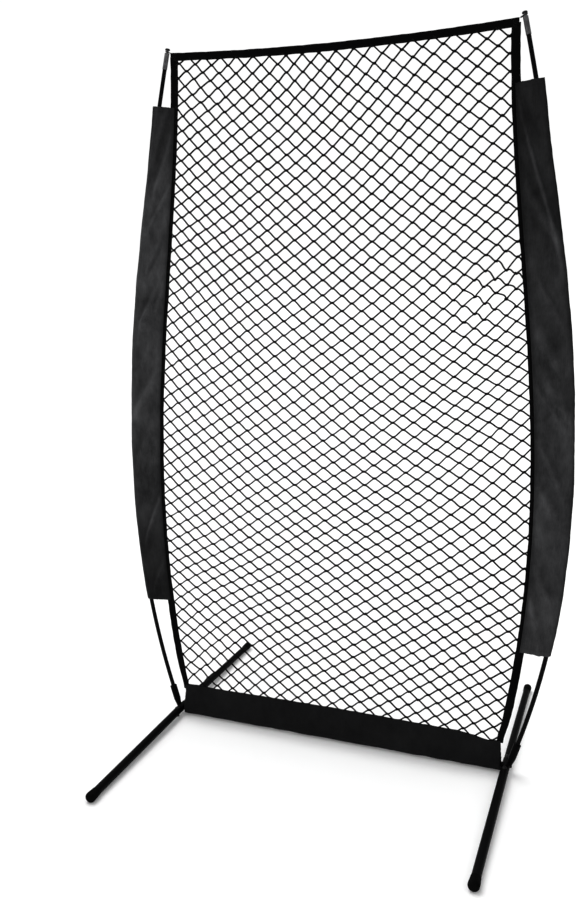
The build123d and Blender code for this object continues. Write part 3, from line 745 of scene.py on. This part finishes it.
# knots: a small closed tangle of the same twine at every crossing in the open mesh, and half under the tapes
show = inside(kx, kz, 4.0)
kn = np.nonzero(show)[0]
t = np.linspace(0, 2 * math.pi, 18, endpoint=False)
tref = np.stack([np.sin(t) + 2 * np.sin(2 * t), -1.25 * np.sin(3 * t), np.cos(t) - 2 * np.cos(2 * t)], -1)
tref *= np.array([1.55, 1.30, 0.74])
flip = np.where(kr_[kn] % 4 < 2, 1.0, -1.0)
turn = jig.normal(0, 0.13, len(kn)) + np.where(flip > 0, 0.0, math.pi)
size = 1 + jig.normal(0, 0.06, len(kn))
ct, st = np.cos(turn), np.sin(turn)
kp = tref[None] * size[:, None, None]
kp = np.stack([kp[..., 0] * ct[:, None] + kp[..., 2] * st[:, None], kp[..., 1] * flip[:, None],
               -kp[..., 0] * st[:, None] + kp[..., 2] * ct[:, None]], -1) + K3[kn][:, None, :]
knot_part = tubes(kp, 2.25, 5, closed=True, ref=(0, 1, 0), pitch=TWINE_D * 2.9)
net = add_mesh("knotted_netting", *merge([bar_part, knot_part]), material=TWINE)
dress(net, "netting", "net_panel")
for k in exits:
    exits[k] = np.array(sorted(exits[k]))


def pulls(t, places, width, keep=0.6):
    """A row of small peaks where the twines enter a tape."""
    out_ = np.zeros_like(t, float)
    for n, p in enumerate(places):
        out_ += (0.55 + 0.45 * math.sin(n * 2.399)) * np.exp(-((t - p) / width) ** 2)
    return np.clip(out_, 0, 1.4) * keep


# ------------------------------------------------------------------ tapes round the net
def tape(name, nodes, t, inner, outer, along_z, h0, inner_lumps, seed, flip_x=1.0):
    """A folded webbing tape. t is the position along it, inner and outer its two edges; lumps raise it
    over the knots that it traps."""
    wob = waves(9, 25, 260, seed)
    wob2 = waves(9, 25, 260, seed + 1)
    yy = waves(7, 90, 700, seed + 2)
    a = np.array([-1, -0.985, -0.93, -0.8, -0.6, -0.3, 0.0, 0.3, 0.6, 0.8, 0.93, 0.985, 1])
    prof = np.array([0.30, 0.66, 0.93, 1, 1, 1, 1, 1, 1, 1, 0.93, 0.66, 0.30])
    n = len(t)
    dirn = np.sign(outer - inner).mean()
    ins = inner + 0.45 * wob(t) - dirn * pulls(t, inner_lumps, 3.4, 0.9)
    outs = outer + 0.4 * wob2(t)
    A = (a[None, :] + 1) / 2
    across = ins[:, None] + (outs - ins)[:, None] * A
    lump = pulls(t, inner_lumps, 4.2, 0.85)[:, None] * np.exp(-((a[None, :] + 0.72) / 0.26) ** 2)
    dip = 0.30 * np.exp(-((np.abs(a)[None, :] - 0.72) / 0.07) ** 2)          # the stitch rows pull in
    mottle = waves2(8, 12, 60, seed + 5)
    wrink = 0.16 * mottle(t[:, None], across)
    H = (h0 + lump * 0.8 - dip) * prof[None, :] + np.abs(wrink) * prof[None, :]
    y0 = 0.55 * yy(t)[:, None]
    front = np.stack([across, y0 - H, np.broadcast_to(t[:, None], across.shape)], -1)
    back = np.stack([across, y0 + H, np.broadcast_to(t[:, None], across.shape)], -1)[:, ::-1]
    V = np.concatenate([front, back], 1)
    if not along_z:
        V = V[..., [2, 1, 0]]
    V[..., 0] *= flip_x
    ring = V.shape[1]
    uu = np.linspace(0, 2 * abs((outer - inner).mean()) * MM * 1.08, ring + 1)
    uv = np.stack(np.broadcast_arrays(uu[None, :], (t * MM)[:, None]), -1)
    q, quv = grid(V, wrap=True, uv=uv)
    caps = [np.arange(ring)[None, ::-1], (np.arange(ring) + (n - 1) * ring)[None, :]]
    ob = add_mesh(name, V.reshape(-1, 3), [q] + caps, [quv, np.zeros((1, ring, 2)), np.zeros((1, ring, 2))], material=WEBBING)
    bm_fix(ob)

    def surface(tq, aq):
        """Point on the front and half thickness there, in (across, t) coordinates."""
        i_ = np.interp(tq, t, ins)
        o_ = np.interp(tq, t, outs)
        return i_ + (o_ - i_) * (aq + 1) / 2, np.interp(tq, t, y0[:, 0]), h0 - 0.12
    return ob, surface


def bm_fix(ob):
    """Consistent outward normals."""
    import bmesh
    bm = bmesh.new()
    bm.from_mesh(ob.data)
    bmesh.ops.recalc_face_normals(bm, faces=bm.faces)
    bm.to_mesh(ob.data)
    bm.free()


def stitch_row(points, normals, length=2.9, radius=0.28, lift=0.16, sink=0.22):
    """Closed little tubes, one per stitch, bowed over the cloth. points is (n, 2, 3): each stitch's two ends."""
    p = np.asarray(points, float)
    nrm = np.asarray(normals, float)
    tq = np.array([0.0, 0.16, 0.5, 0.84, 1.0])
    h = np.array([-sink, lift * 0.55, lift, lift * 0.55, -sink])
    path = p[:, :1] + (p[:, 1:] - p[:, :1]) * tq[None, :, None] + nrm[:, None, :] * h[None, :, None]
    r = radius * np.array([0.55, 1.0, 1.0, 1.0, 0.55])
    return tubes(path, np.broadcast_to(r, (len(p), 5)), 4, ref=nrm[:, None, :] + np.zeros((len(p), 5, 3)), pitch=1.4)


zt = np.arange(94.0, 2124.5, 3.5)
stitches = []


def run_stitches(fn, t0, t1, pitch, gap, **kw):
    """fn(t) gives a point and a normal; stitches run from t0 to t1."""
    a = np.arange(t0, t1 - pitch, pitch)
    p0, n0 = fn(a)
    p1, _ = fn(a + pitch - gap)
    stitches.append(stitch_row(np.stack([p0, p1], 1), n0, **kw))


for sx, word in ((1, "right"), (-1, "left")):
    inner, outer = edge_x(zt) - 1.0, edge_x(zt) + bind_w(zt) + 1.2
    lumps = exits[word]
    ob, surf = tape("side_tape_" + word, None, zt, inner, outer, True, BIND_H, lumps, 100 + sx * 7, flip_x=sx)
    dress(ob, "webbing", "side_binding_" + word)
    for face in (-1, 1):
        for aq in (-0.72, 0.72):
            def fn(tq, surf=surf, face=face, aq=aq, sx=sx):
                x_, y_, h_ = surf(tq, aq)
                return (np.stack([sx * x_, y_ + face * h_, tq], -1),
                        np.broadcast_to(np.array([0.0, face, 0.0]), (len(tq), 3)))
            run_stitches(fn, 116.0 + (aq > 0) * 1.5, 2112.0, 4.4, 1.2)

xt = np.arange(-509.0, 509.1, 3.5)
ob, surf = tape("top_tape", None, xt, top_z(xt) - TOP_W, top_z(xt), False, BIND_H + 0.35, exits["top"], 140)
dress(ob, "webbing", "top_binding")
for face in (-1, 1):
    for aq in (-0.72, 0.72):
        def fn(tq, surf=surf, face=face, aq=aq):
            z_, y_, h_ = surf(tq, aq)
            return (np.stack([tq, y_ + face * h_, z_], -1),
                    np.broadcast_to(np.array([0.0, face, 0.0]), (len(tq), 3)))
        run_stitches(fn, -504.0, 504.0, 4.4, 1.2)
# a bar tack where the tapes cross at each corner
for sx in (1, -1):
    for face in (-1, 1):
        for k in range(9):
            zc = 2112.5 + k * 2.1
            a0, a1 = np.array([sx * 490.0]), np.array([sx * 503.0])
            p = np.stack([np.stack([a0, np.full(1, face * 1.95), np.full(1, zc)], -1),
                          np.stack([a1, np.full(1, face * 1.95), np.full(1, zc + (k % 2) * 1.2)], -1)], 1)
            stitches.append(stitch_row(p, np.array([[0.0, face, 0.0]]), radius=0.32))

# ------------------------------------------------------------------ sleeves
def creases(seed, count, z0, z1, slope, width, height):
    """Seeded diagonal folds: each is (place along, slope across the cloth, half width, height, a0, a1)."""
    r = np.random.default_rng(seed)
    out_ = []
    for n in range(count):
        out_.append((z0 + (z1 - z0) * (n + r.uniform(0.1, 0.9)) / count, slope * r.uniform(0.55, 1.5),
                     width * r.uniform(0.6, 1.6), height * r.uniform(0.35, 1.0) * (1 if r.random() < 0.68 else -0.7),
                     r.uniform(-0.15, 0.25), r.uniform(0.75, 1.25)))
    return out_


def crease_field(folds, a, z):
    h = 0.0
    for zc, slope, w, amp_, a0, a1 in folds:
        d = (z - zc + slope * (a - 0.5)) / w
        env = np.clip((a - a0) / 0.22, 0, 1) * np.clip((a1 - a) / 0.22, 0, 1)
        env = env * env * (3 - 2 * env)
        h = h + amp_ * env * (np.exp(-d * d) - 0.45 * np.exp(-((d - 1.9) / 1.1) ** 2))
    return h


def tangent(D, ya, R):
    """Angle of the line from a point (D away, ya up) that touches a circle of radius R."""
    return np.arcsin(np.clip(R / np.hypot(D, ya), -1, 1)) - np.arctan2(ya, D)


def sleeve(sx, word, seed, z0, z1, droop, lift, painted_shade_along_z):
    z = np.concatenate([np.arange(z0, z1, 4.0), [z1]])
    n = len(z)
    px, s = pole_x(z), pole_s(z)
    R = 7.9 + 0.9 * (np.exp(-((s - JOINT_1) / (FERRULE_HALF + 6)) ** 8) + np.exp(-((s - JOINT_2) / (FERRULE_HALF + 6)) ** 8))
    wv, wv2, tw = waves(9, 60, 700, seed), waves(9, 30, 160, seed + 1), waves(6, 200, 900, seed + 2)
    xb = edge_x(z) + bind_w(z) - 12.0
    tape_y = 0.55 * waves(7, 90, 700, 100 + sx * 7 + 2)(z)
    grow = np.where(z > 1775, 10.0 * ((np.maximum(z, 1775) - 1775) / 209.0) ** 1.5, 0.0)
    xo = px + 12.0 + grow + 0.7 * wv(z) + 0.25 * wv2(z)
    end = np.minimum(z - z0, z1 - z)
    folds_f = creases(seed + 10, 13, z0, z1, 165.0, 22.0, 7.5)
    folds_b = creases(seed + 20, 13, z0, z1, 150.0, 22.0, 7.5)
    if sx > 0:
        folds_f.append((1783.0, 429.0, 22.0, 3.5, -0.05, 1.05))
    soft_f, soft_b = waves2(10, 50, 260, seed + 30, 2.2), waves2(10, 50, 260, seed + 40, 2.2)
    fine_f, fine_b = waves2(12, 9, 34, seed + 50, 1.4), waves2(12, 9, 34, seed + 60, 1.4)
    gath = waves(14, 7, 22, seed + 70)
    na = 26
    a = np.linspace(0, 1, na)
    a = a - 0.06 * np.sin(2 * math.pi * a) / (2 * math.pi)

    def side(soft, fine, folds, lean, ty):
        ya = 1.95 + ty
        D1 = px - xb
        th1 = tangent(D1, ya, R)
        xt1 = px - R * np.sin(th1)
        yt1 = R * np.cos(th1)
        D2 = xo - 1.2 - px
        th2 = tangent(D2, 0.9, R * 0.985)
        xt2 = px + R * np.sin(th2)
        A_ = a[None, :]
        X1 = xb[:, None] + (xt1 - xb)[:, None] * A_
        Y1 = ya[:, None] + (yt1 - ya)[:, None] * A_
        Z1 = np.broadcast_to(z[:, None], X1.shape)
        env = np.sin(math.pi * np.clip(A_, 0, 1)) ** 0.7
        h = crease_field(folds, A_, z[:, None]) * 0.85 + 1.0 * soft(X1, Z1) + 0.16 * fine(X1, Z1)
        pucker = 0.55 * gath(Z1 + 14 * A_) * np.exp(-((A_ - 0.09) / 0.10) ** 2) * np.clip(end / 12, 0, 1)[:, None]
        least = np.where(X1 < (edge_x(z) + bind_w(z) + 3.0)[:, None], 1.85 + ty[:, None], 1.15 + 0.35 * A_ + (ty * 0.5 + 0.3)[:, None] * (1 - A_))
        Y1 = np.maximum(Y1 + env * h * 1.0 + pucker + lean[:, None] * env, least)
        # round the pole, then flat to the outer fold
        ph = np.linspace(0, 1, 7)[None, 1:]
        ang1, ang2 = math.pi / 2 + th1, math.pi / 2 - th2
        ang = ang1[:, None] + (ang2 - ang1)[:, None] * ph
        X2, Y2 = px[:, None] + R[:, None] * np.cos(ang), R[:, None] * np.sin(ang)
        Y2 = Y2 + 0.14 * fine(X2, np.broadcast_to(z[:, None], X2.shape))
        q = np.linspace(0, 1, 6)[None, 1:]
        X3 = X2[:, -1:] + (xo[:, None] - 1.3 - X2[:, -1:]) * q
        Y3 = Y2[:, -1:] + (1.55 - Y2[:, -1:]) * q
        return np.concatenate([X1, X2, X3], 1), np.concatenate([Y1, Y2, Y3], 1)

    lean = 0.6 * tw(z)
    Xf, Yf = side(soft_f, fine_f, folds_f, lean, -tape_y)
    Xb, Yb = side(soft_b, fine_b, folds_b, -lean, tape_y)
    hem = 0.55 * (1 / (1 + np.exp((end - 21.0) / 0.8)))
    Yf, Yb = Yf + hem[:, None], Yb + hem[:, None]
    tip = np.stack([xo - 0.35, xo, xo - 0.35], -1)
    tipy = np.stack([-(1.0 + hem), np.zeros(n), 1.0 + hem], -1)
    X = np.concatenate([Xf, tip, Xb[:, ::-1]], 1)
    Y = np.concatenate([-Yf, tipy, Yb[:, ::-1]], 1)
    rag = waves(8, 8, 50, seed + 80)
    Z = np.broadcast_to(z[:, None], X.shape).copy()
    Z[0] += 0.5 * rag(X[0]) + 0.8
    Z[-1] += 0.5 * rag(X[-1] + 400) - 0.8
    Z -= droop * (1 - np.clip((X - xb[:, None]) / (xo - xb)[:, None], 0, 1)) * np.exp(-(z1 - z) / 70.0)[:, None]
    Z += lift * (1 - np.clip((X - xb[:, None]) / (xo - xb)[:, None], 0, 1)) * np.exp(-(z - z0) / 50.0)[:, None]
    V = np.stack([sx * X, Y, Z], -1)
    m = V.shape[1]
    run = np.concatenate([np.zeros((n, 1)), np.cumsum(np.linalg.norm(np.diff(V, axis=1), axis=2), 1)], 1) * MM
    uv = np.stack([run, np.broadcast_to(z[:, None] * MM, run.shape)], -1)
    q, quv = grid(V, uv=uv)
    if sx < 0:
        q, quv = q[:, ::-1], quv[:, ::-1]
    ob = add_mesh("sleeve_cloth_" + word, V.reshape(-1, 3), [q], [quv], material=SLEEVE_CLOTH)
    # painted shade and highlight in the colour, kept as a point attribute: darker or lighter along the length from the
    # table of painted shade, lighter crests and darker hollows on the creases, darker along the outer fold and along
    # the sewn edges, with a little random tone
    fold_run = run[:, [len(Xf[0]) + 1]]
    keep = np.interp(z, *painted_shade_along_z)[:, None] * (1 + 0.10 * waves2(8, 60, 300, seed + 90)(X, Z))
    across = (X - xb[:, None]) / (px - xb)[:, None]
    nf = len(Xf[0])
    # painted shade and highlight on the creases: crests lighter, hollows darker
    keep[:, :nf] *= 1 + 0.35 * np.clip(crease_field(folds_f, across[:, :nf], Z[:, :nf]) / 6.0, -1, 1)
    keep[:, nf + 3:] *= 1 + 0.35 * np.clip(crease_field(folds_b, across[:, nf + 3:], Z[:, nf + 3:]) / 6.0, -1, 1)
    if sx > 0:
        # one long crease whose crest gets a painted highlight
        w_ = (X - xb[:, None]) / (xo - xb)[:, None]
        line = np.interp(z, (1500, 1603, 1730, 1856), (0.89, 0.78, 0.53, 0.28))[:, None]
        painted_crest_highlight = np.exp(-((w_ - line) / 0.055) ** 2) * np.interp(z, (1470, 1540, 1800, 1885), (0, 1, 1, 0))[:, None]
        keep[:, :nf] *= 1 + 1.1 * painted_crest_highlight[:, :nf]
    # painted shade along the outer fold
    keep = keep * (1 - 0.55 * np.exp(-((run - fold_run) / 0.0075) ** 2))
    # painted shade along the sewn edges by the tapes
    keep = keep * (1 - 0.45 * np.exp(-(np.minimum(run, run[:, -1:] - run) / 0.0085) ** 2))
    painted_light_and_tone = ob.data.attributes.new("painted_light_and_tone", "FLOAT", "POINT")
    painted_light_and_tone.data.foreach_set("value", np.clip(keep, 0.2, 1.8).astype(np.float32).ravel())
    mod = ob.modifiers.new("thickness", "SOLIDIFY")
    mod.thickness = 0.0009
    mod.offset = -1.0
    mod.use_rim = True
    mod.use_even_offset = False
    dress(ob, "cloth", "sleeve_" + word)
    # hem rows, front and back, at both ends
    for face, Xs, Ys in ((-1, Xf, Yf), (1, Xb, Yb)):
        for zz in (z0 + 17.5, z1 - 17.5):
            i = int(np.argmin(abs(z - zz)))
            xs, ys = Xs[i], Ys[i]

            def fn(tq, xs=xs, ys=ys, face=face, zz=z[i]):
                y_ = np.interp(tq, xs, ys)
                slope = (np.interp(tq + 0.5, xs, ys) - np.interp(tq - 0.5, xs, ys))
                nrm = np.stack([-sx * slope, np.full(len(tq), face * 1.0), np.zeros(len(tq))], -1)
                nrm /= np.linalg.norm(nrm, axis=1, keepdims=True)
                low = droop * math.exp(-(z1 - zz) / 70.0) - lift * math.exp(-(zz - z0) / 50.0)
                low = low * (1 - np.clip((tq - xs[0]) / (xs[-1] - xs[0]), 0, 1))
                return np.stack([sx * tq, face * y_, zz - low], -1), nrm
            run_stitches(fn, xs[0] + 9, xs[-1] - 1, 4.0, 1.1, radius=0.26)
    return ob


# the last argument is painted shade along each sleeve: a brightness factor against height, darker towards the top of
# the right sleeve and towards both ends of the left
sleeve(1, "right", 300, 392.0, 1984.5, 9.0, 0.0,
       ((400, 1000, 1350, 1650, 1960), (1.25, 1.20, 0.95, 0.66, 0.48)))
sleeve(-1, "left", 500, 403.0, 1991.0, 10.0, 5.5,
       ((410, 600, 800, 1150, 1700, 1975), (0.45, 0.62, 1.0, 1.45, 1.40, 0.70)))


# ------------------------------------------------------------------ skirt
def skirt():
    seed = 700
    u = np.concatenate([np.arange(-1.0, 1.0, 2.0 / 300), [1.0]])
    n = len(u)
    x_top, x_bot = 530.0 * u, 535.4 * u
    ztop = skirt_top(x_top) + pulls(x_top, exits["bottom"], 4.5, 1.5) + 0.35 * waves(9, 20, 90, seed)(x_top)
    R = 11.35 + 0.25 * waves(8, 40, 300, seed + 1)(x_bot)
    hang = 7.9 + 0.8 * waves(8, 60, 420, seed + 2)(x_bot)           # slack of the loop under the tube
    soft = [waves2(10, 40, 240, seed + 3 + k, 0.6) for k in range(2)]
    fine = [waves2(12, 9, 32, seed + 6 + k) for k in range(2)]
    folds = [creases(seed + 20 + k, 15, -530, 530, 60.0 * (1 if k else -1), 16.0, 2.0) for k in range(2)]
    down = [creases(seed + 30 + k, 26, -530, 530, 14.0, 7.0, 1.1) for k in range(2)]
    gath = [waves(14, 9, 34, seed + 40 + k) for k in range(2)]
    end = np.minimum(u + 1, 1 - u) * 533.0
    top_h = 2.55
    na = 24
    a = np.linspace(0, 1, na)[None, :]

    def half(k):
        dz = ztop - HUB_Z
        th = np.arctan2(dz, top_h * np.ones(n)) - np.arccos(np.clip(R / np.hypot(top_h, dz), -1, 1))
        y1, z1 = R * np.cos(th), HUB_Z + R * np.sin(th)
        Y = top_h + (y1 - top_h)[:, None] * a
        Zs = ztop[:, None] + (z1 - ztop)[:, None] * a
        Xs = (x_top[:, None] + (x_bot - x_top)[:, None] * np.clip((112 - Zs) / 100, 0, 1))
        env = np.sin(math.pi * a) ** 0.75
        h = (0.85 * soft[k](Xs, Zs) + 0.14 * fine[k](Xs, Zs)
             + crease_field(folds[k], a, Xs) * 0.8 + crease_field(down[k], a * 0.6, Xs) * 0.7 * (1 - a))
        g = 0.5 * gath[k](Xs) * np.exp(-(a / 0.22) ** 2)
        Y = np.maximum(Y + env * h + g * np.clip(a / 0.06, 0, 1), 1.9)
        return Xs, Y, Zs, th

    Xf, Yf, Zf, th = half(0)
    Xb, Yb, Zb, _ = half(1)
    ph = np.linspace(0, 1, 17)[None, 1:-1]
    ang = th[:, None] + (-math.pi - 2 * th)[:, None] * ph            # from the back tangent down round to the front
    Rr = R[:, None] + hang[:, None] * np.clip(-np.sin(ang + 0.30), 0, 1) ** 2.2
    Yr, Zr = Rr * np.cos(ang), HUB_Z + Rr * np.sin(ang)
    Xr = np.broadcast_to(x_bot[:, None], Yr.shape)
    hem = (0.5 / (1 + np.exp((end - 16.0) / 0.8)))[:, None]
    X = np.concatenate([Xf, Xr, Xb[:, ::-1]], 1)
    Y = np.concatenate([-(Yf + hem), -(Yr + np.sign(Yr) * hem), Yb[:, ::-1] + hem], 1)
    # the loop runs front top -> front tangent -> under the tube -> back tangent -> back top
    Z = np.concatenate([Zf, Zr, Zb[:, ::-1]], 1)
    rag = waves(8, 8, 40, seed + 60)
    X = X.copy()
    X[0] += 0.5 * rag(Z[0])
    X[-1] += 0.5 * rag(Z[-1] + 300)
    V = np.stack([X, Y, Z], -1)
    run = np.concatenate([np.zeros((n, 1)), np.cumsum(np.linalg.norm(np.diff(V, axis=1), axis=2), 1)], 1) * MM
    uv = np.stack([run, np.broadcast_to((x_bot * MM)[:, None], run.shape)], -1)
    q, quv = grid(V, uv=uv)
    ob = add_mesh("skirt_cloth", V.reshape(-1, 3), [q[:, ::-1]], [quv[:, ::-1]], material=SKIRT_CLOTH)
    mod = ob.modifiers.new("thickness", "SOLIDIFY")
    mod.thickness = 0.0008
    mod.offset = -1.0
    mod.use_rim = True
    mod.use_even_offset = False
    dress(ob, "cloth", "skirt")
    # two rows along the top, and a hem row down each end
    for face, Xs, Ys, Zs in ((-1, Xf, Yf, Zf), (1, Xb, Yb, Zb)):
        for drop in (5.0, 10.5):
            frac = drop / 90.0 * (na - 1)
            i0 = int(frac)
            w = frac - i0
            line_y = Ys[:, i0] * (1 - w) + Ys[:, i0 + 1] * w
            line_z = Zs[:, i0] * (1 - w) + Zs[:, i0 + 1] * w
            line_x = Xs[:, i0] * (1 - w) + Xs[:, i0 + 1] * w

            def fn(tq, lx=line_x, ly=line_y, lz=line_z, face=face):
                return (np.stack([tq, face * np.interp(tq, lx, ly), np.interp(tq, lx, lz)], -1),
                        np.broadcast_to(np.array([0.0, face * 0.995, 0.1]), (len(tq), 3)))
            run_stitches(fn, -524.0, 524.0, 4.2, 1.1, radius=0.26)
        for e in (0, 1):
            i = int(np.argmin(abs(end[: n // 2] - 13.0))) if e == 0 else n - 1 - int(np.argmin(abs(end[: n // 2] - 13.0)))
            zs_, ys_, xs_ = Zs[i][::-1], (Ys[i] + hem[i])[::-1], Xs[i][::-1]

            def fn(tq, zs_=zs_, ys_=ys_, xs_=xs_, face=face):
                return (np.stack([np.interp(tq, zs_, xs_), face * np.interp(tq, zs_, ys_), tq], -1),
                        np.broadcast_to(np.array([0.0, face * 0.995, 0.1]), (len(tq), 3)))
            run_stitches(fn, zs_[0] + 1, zs_[-1] - 2, 4.0, 1.1, radius=0.26)
    return ob


skirt()
ob = add_mesh("stitching", *merge(stitches), material=THREAD)
dress(ob, "webbing")

# ------------------------------------------------------------------ corner cords: two-ply rope through the neck of each tip
nx, nz, na_ = pole_at((TIP_SHOULDER + TIP_NECK_END) / 2)
drop = math.radians(24.0)
du = np.array([-math.cos(drop), 0.0, -math.sin(drop)])
dv = np.array([0.0, 1.0, 0.0])
CORD_D = 2.6
rho = NECK_R + CORD_D / 2 + 0.2
reach, v_end = 13.0, 2.0
dist = math.hypot(reach, v_end)
ang0 = math.atan2(v_end, reach) + math.acos(rho / dist)
pts = [(reach + (rho * math.cos(ang0) - reach) * k / 10, v_end + (rho * math.sin(ang0) - v_end) * k / 10) for k in range(10)]
pts += [(rho * math.cos(f), rho * math.sin(f)) for f in np.linspace(ang0, 2 * math.pi - ang0, 40)]
pts += [(p[0], -p[1]) for p in pts[9::-1]]
pts = np.array(pts)
seg = np.concatenate([[0], np.cumsum(np.linalg.norm(np.diff(pts, axis=0), axis=1))])
tq = np.linspace(0, seg[-1], 130)
core = np.stack([np.interp(tq, seg, pts[:, 0]), np.interp(tq, seg, pts[:, 1])], -1)
tan = np.gradient(core, axis=0)
tan /= np.linalg.norm(tan, axis=1, keepdims=True)
nor = np.stack([-tan[:, 1], tan[:, 0]], -1)
for sx, word in ((1, "right"), (-1, "left")):
    plies = []
    for ply in range(3):
        f = 2 * math.pi * (tq / 7.0) + 2 * math.pi * ply / 3
        off2 = 0.66 * np.cos(f)
        offn = 0.66 * np.sin(f)
        c2 = core + nor * off2[:, None]
        w = np.cross(du, dv)
        P = (np.array([nx, 0, nz])[None] + c2[:, :1] * du[None] + c2[:, 1:] * dv[None] + offn[:, None] * w[None])
        P[:, 0] *= sx
        plies.append(P)
    v, p, uvs = tubes(np.array(plies), 0.68, 8, ref=(0.05, 0.02, 1.0), pitch=2.2)
    ob = add_mesh("corner_cord_rope_" + word, v, p, uvs, material=CORD)
    dress(ob, "cord", "corner_cord_" + word)

# ------------------------------------------------------------------ weld beads on the hubs
def bead(points, r, seed, sides=8):
    """A closed weld bead with the ripples of a run, along a closed line of points."""
    P = np.asarray(points, float)
    m = len(P)
    k = np.arange(m)
    rip = 1 + 0.16 * np.sin(2 * math.pi * k / 6.0) + 0.06 * np.sin(k * 1.7 + seed) + 0.05 * np.sin(k * 0.61 + 2 * seed)
    return tubes(P[None], (r * rip)[None], sides, closed=True, ref=(0.31, 0.27, 0.9), pitch=6.0)


def socket_ring(side):
    ring = []
    ux, uz = math.sin(POLE_A0), math.cos(POLE_A0)
    for f in np.linspace(0, 2 * math.pi, 72, endpoint=False):
        for s in np.arange(0, 30, 0.25):
            r = 7.6 if s < 9 else 7.6 + (11.0 - 7.6) * (s - 9) / 21
            x = POLE_X0 + ux * s + r * math.cos(f) * uz
            y = r * math.sin(f)
            z = HUB_Z + uz * s - r * math.cos(f) * ux
            if math.hypot(x - HUB_X, z - HUB_Z) >= 12.7:
                break
        ring.append((side * x, y, z))
    return ring


def stub_ring(side):
    ring = []
    for f in np.linspace(0, 2 * math.pi, 60, endpoint=False):
        y, z = 8.45 * math.cos(f), 8.45 * math.sin(f)
        ring.append((side * (HUB_X - math.sqrt(max(12.7 ** 2 - z * z, 0))), y, HUB_Z + z))
    return ring


for side, word in ((1, "right"), (-1, "left")):
    ob = add_mesh("hub_welds_" + word, *merge([bead(socket_ring(side), 1.7, 1 + side), bead(stub_ring(side), 1.05, 3 + side)]),
                  material=POWDER)
    dress(ob, "frame_steel")

# ------------------------------------------------------------------ floor and light
stage_mat, nt, b = shader("studio_floor", (0.93, 0.93, 0.93), 0.95, 0.0)
nt.links.new(ramp(nt, noise(nt, coords(nt), 3.0, 2.0), [(0.0, (0.925, 0.925, 0.925)), (1.0, (0.935, 0.935, 0.935))]), b.inputs["Base Color"])
me = bpy.data.meshes.new("studio_floor")
me.from_pydata([(-60, -60, -0.0004), (60, -60, -0.0004), (60, 60, -0.0004), (-60, 60, -0.0004)], [], [(0, 1, 2, 3)])
me.materials.append(stage_mat)
floor = bpy.data.objects.new("studio_floor", me)
bpy.context.scene.collection.objects.link(floor)

world = bpy.data.worlds.new("studio")
bpy.context.scene.world = world
world.use_nodes = True
wn = world.node_tree
bg = wn.nodes["Background"]
bg.inputs["Color"].default_value = (1, 1, 1, 1)
bg.inputs["Strength"].default_value = 0.78
seen = wn.nodes.new("ShaderNodeBackground")           # the backdrop as the camera sees it: plain white
seen.inputs["Color"].default_value = (1, 1, 1, 1)
seen.inputs["Strength"].default_value = 1.02
tc = wn.nodes.new("ShaderNodeTexCoord")
sp = wn.nodes.new("ShaderNodeSeparateXYZ")
rise = wn.nodes.new("ShaderNodeMapRange")
rise.interpolation_type = "SMOOTHSTEP"
for k, v in (("From Min", -0.05), ("From Max", 0.85), ("To Min", 0.27), ("To Max", 0.82)):
    rise.inputs[k].default_value = v
wn.links.new(tc.outputs["Generated"], sp.inputs["Vector"])
wn.links.new(sp.outputs["Z"], rise.inputs["Value"])
wn.links.new(rise.outputs["Result"], bg.inputs["Strength"])
which = wn.nodes.new("ShaderNodeLightPath")
mix = wn.nodes.new("ShaderNodeMixShader")
wn.links.new(which.outputs["Is Camera Ray"], mix.inputs["Fac"])
wn.links.new(bg.outputs["Background"], mix.inputs[1])
wn.links.new(seen.outputs["Background"], mix.inputs[2])
wn.links.new(mix.outputs["Shader"], wn.nodes["World Output"].inputs["Surface"])


# Two soft lights. Only what stands on the floor throws their shadows; the open net lets them through.
low = bpy.data.collections.new("stands_on_floor")
for ob in list(bpy.data.objects):
    if ob.type == "MESH" and (ob.name.startswith(("skirt_cloth", "hub_", "crossbar")) or "leg" in ob.name or "foot_cap" in ob.name):
        low.objects.link(ob)
none = bpy.data.collections.new("throws_no_shadow")
none.objects.link(floor)
for name, energy, angle, travel in (("soft_key", 1.45, 40, (0.36, -0.28, -0.88)), ("side_fill", 0.75, 14, (0.78, 0.38, -0.48))):
    sun = bpy.data.lights.new(name, "SUN")
    sun.energy = energy
    sun.angle = math.radians(angle)
    light = bpy.data.objects.new(name, sun)
    bpy.context.scene.collection.objects.link(light)
    light.rotation_euler = Vector(travel).to_track_quat("-Z", "Y").to_euler()
    light.location = (-2, 1.5, 4)
    light.light_linking.blocker_collection = low if name == "soft_key" else none
bpy.context.scene.view_settings.view_transform = "Standard"
bpy.context.scene.view_settings.look = "None"
bpy.context.scene.view_settings.gamma = 0.78          # a contrasty print: white stays white, blacks close up

bpy.context.view_layer.update()
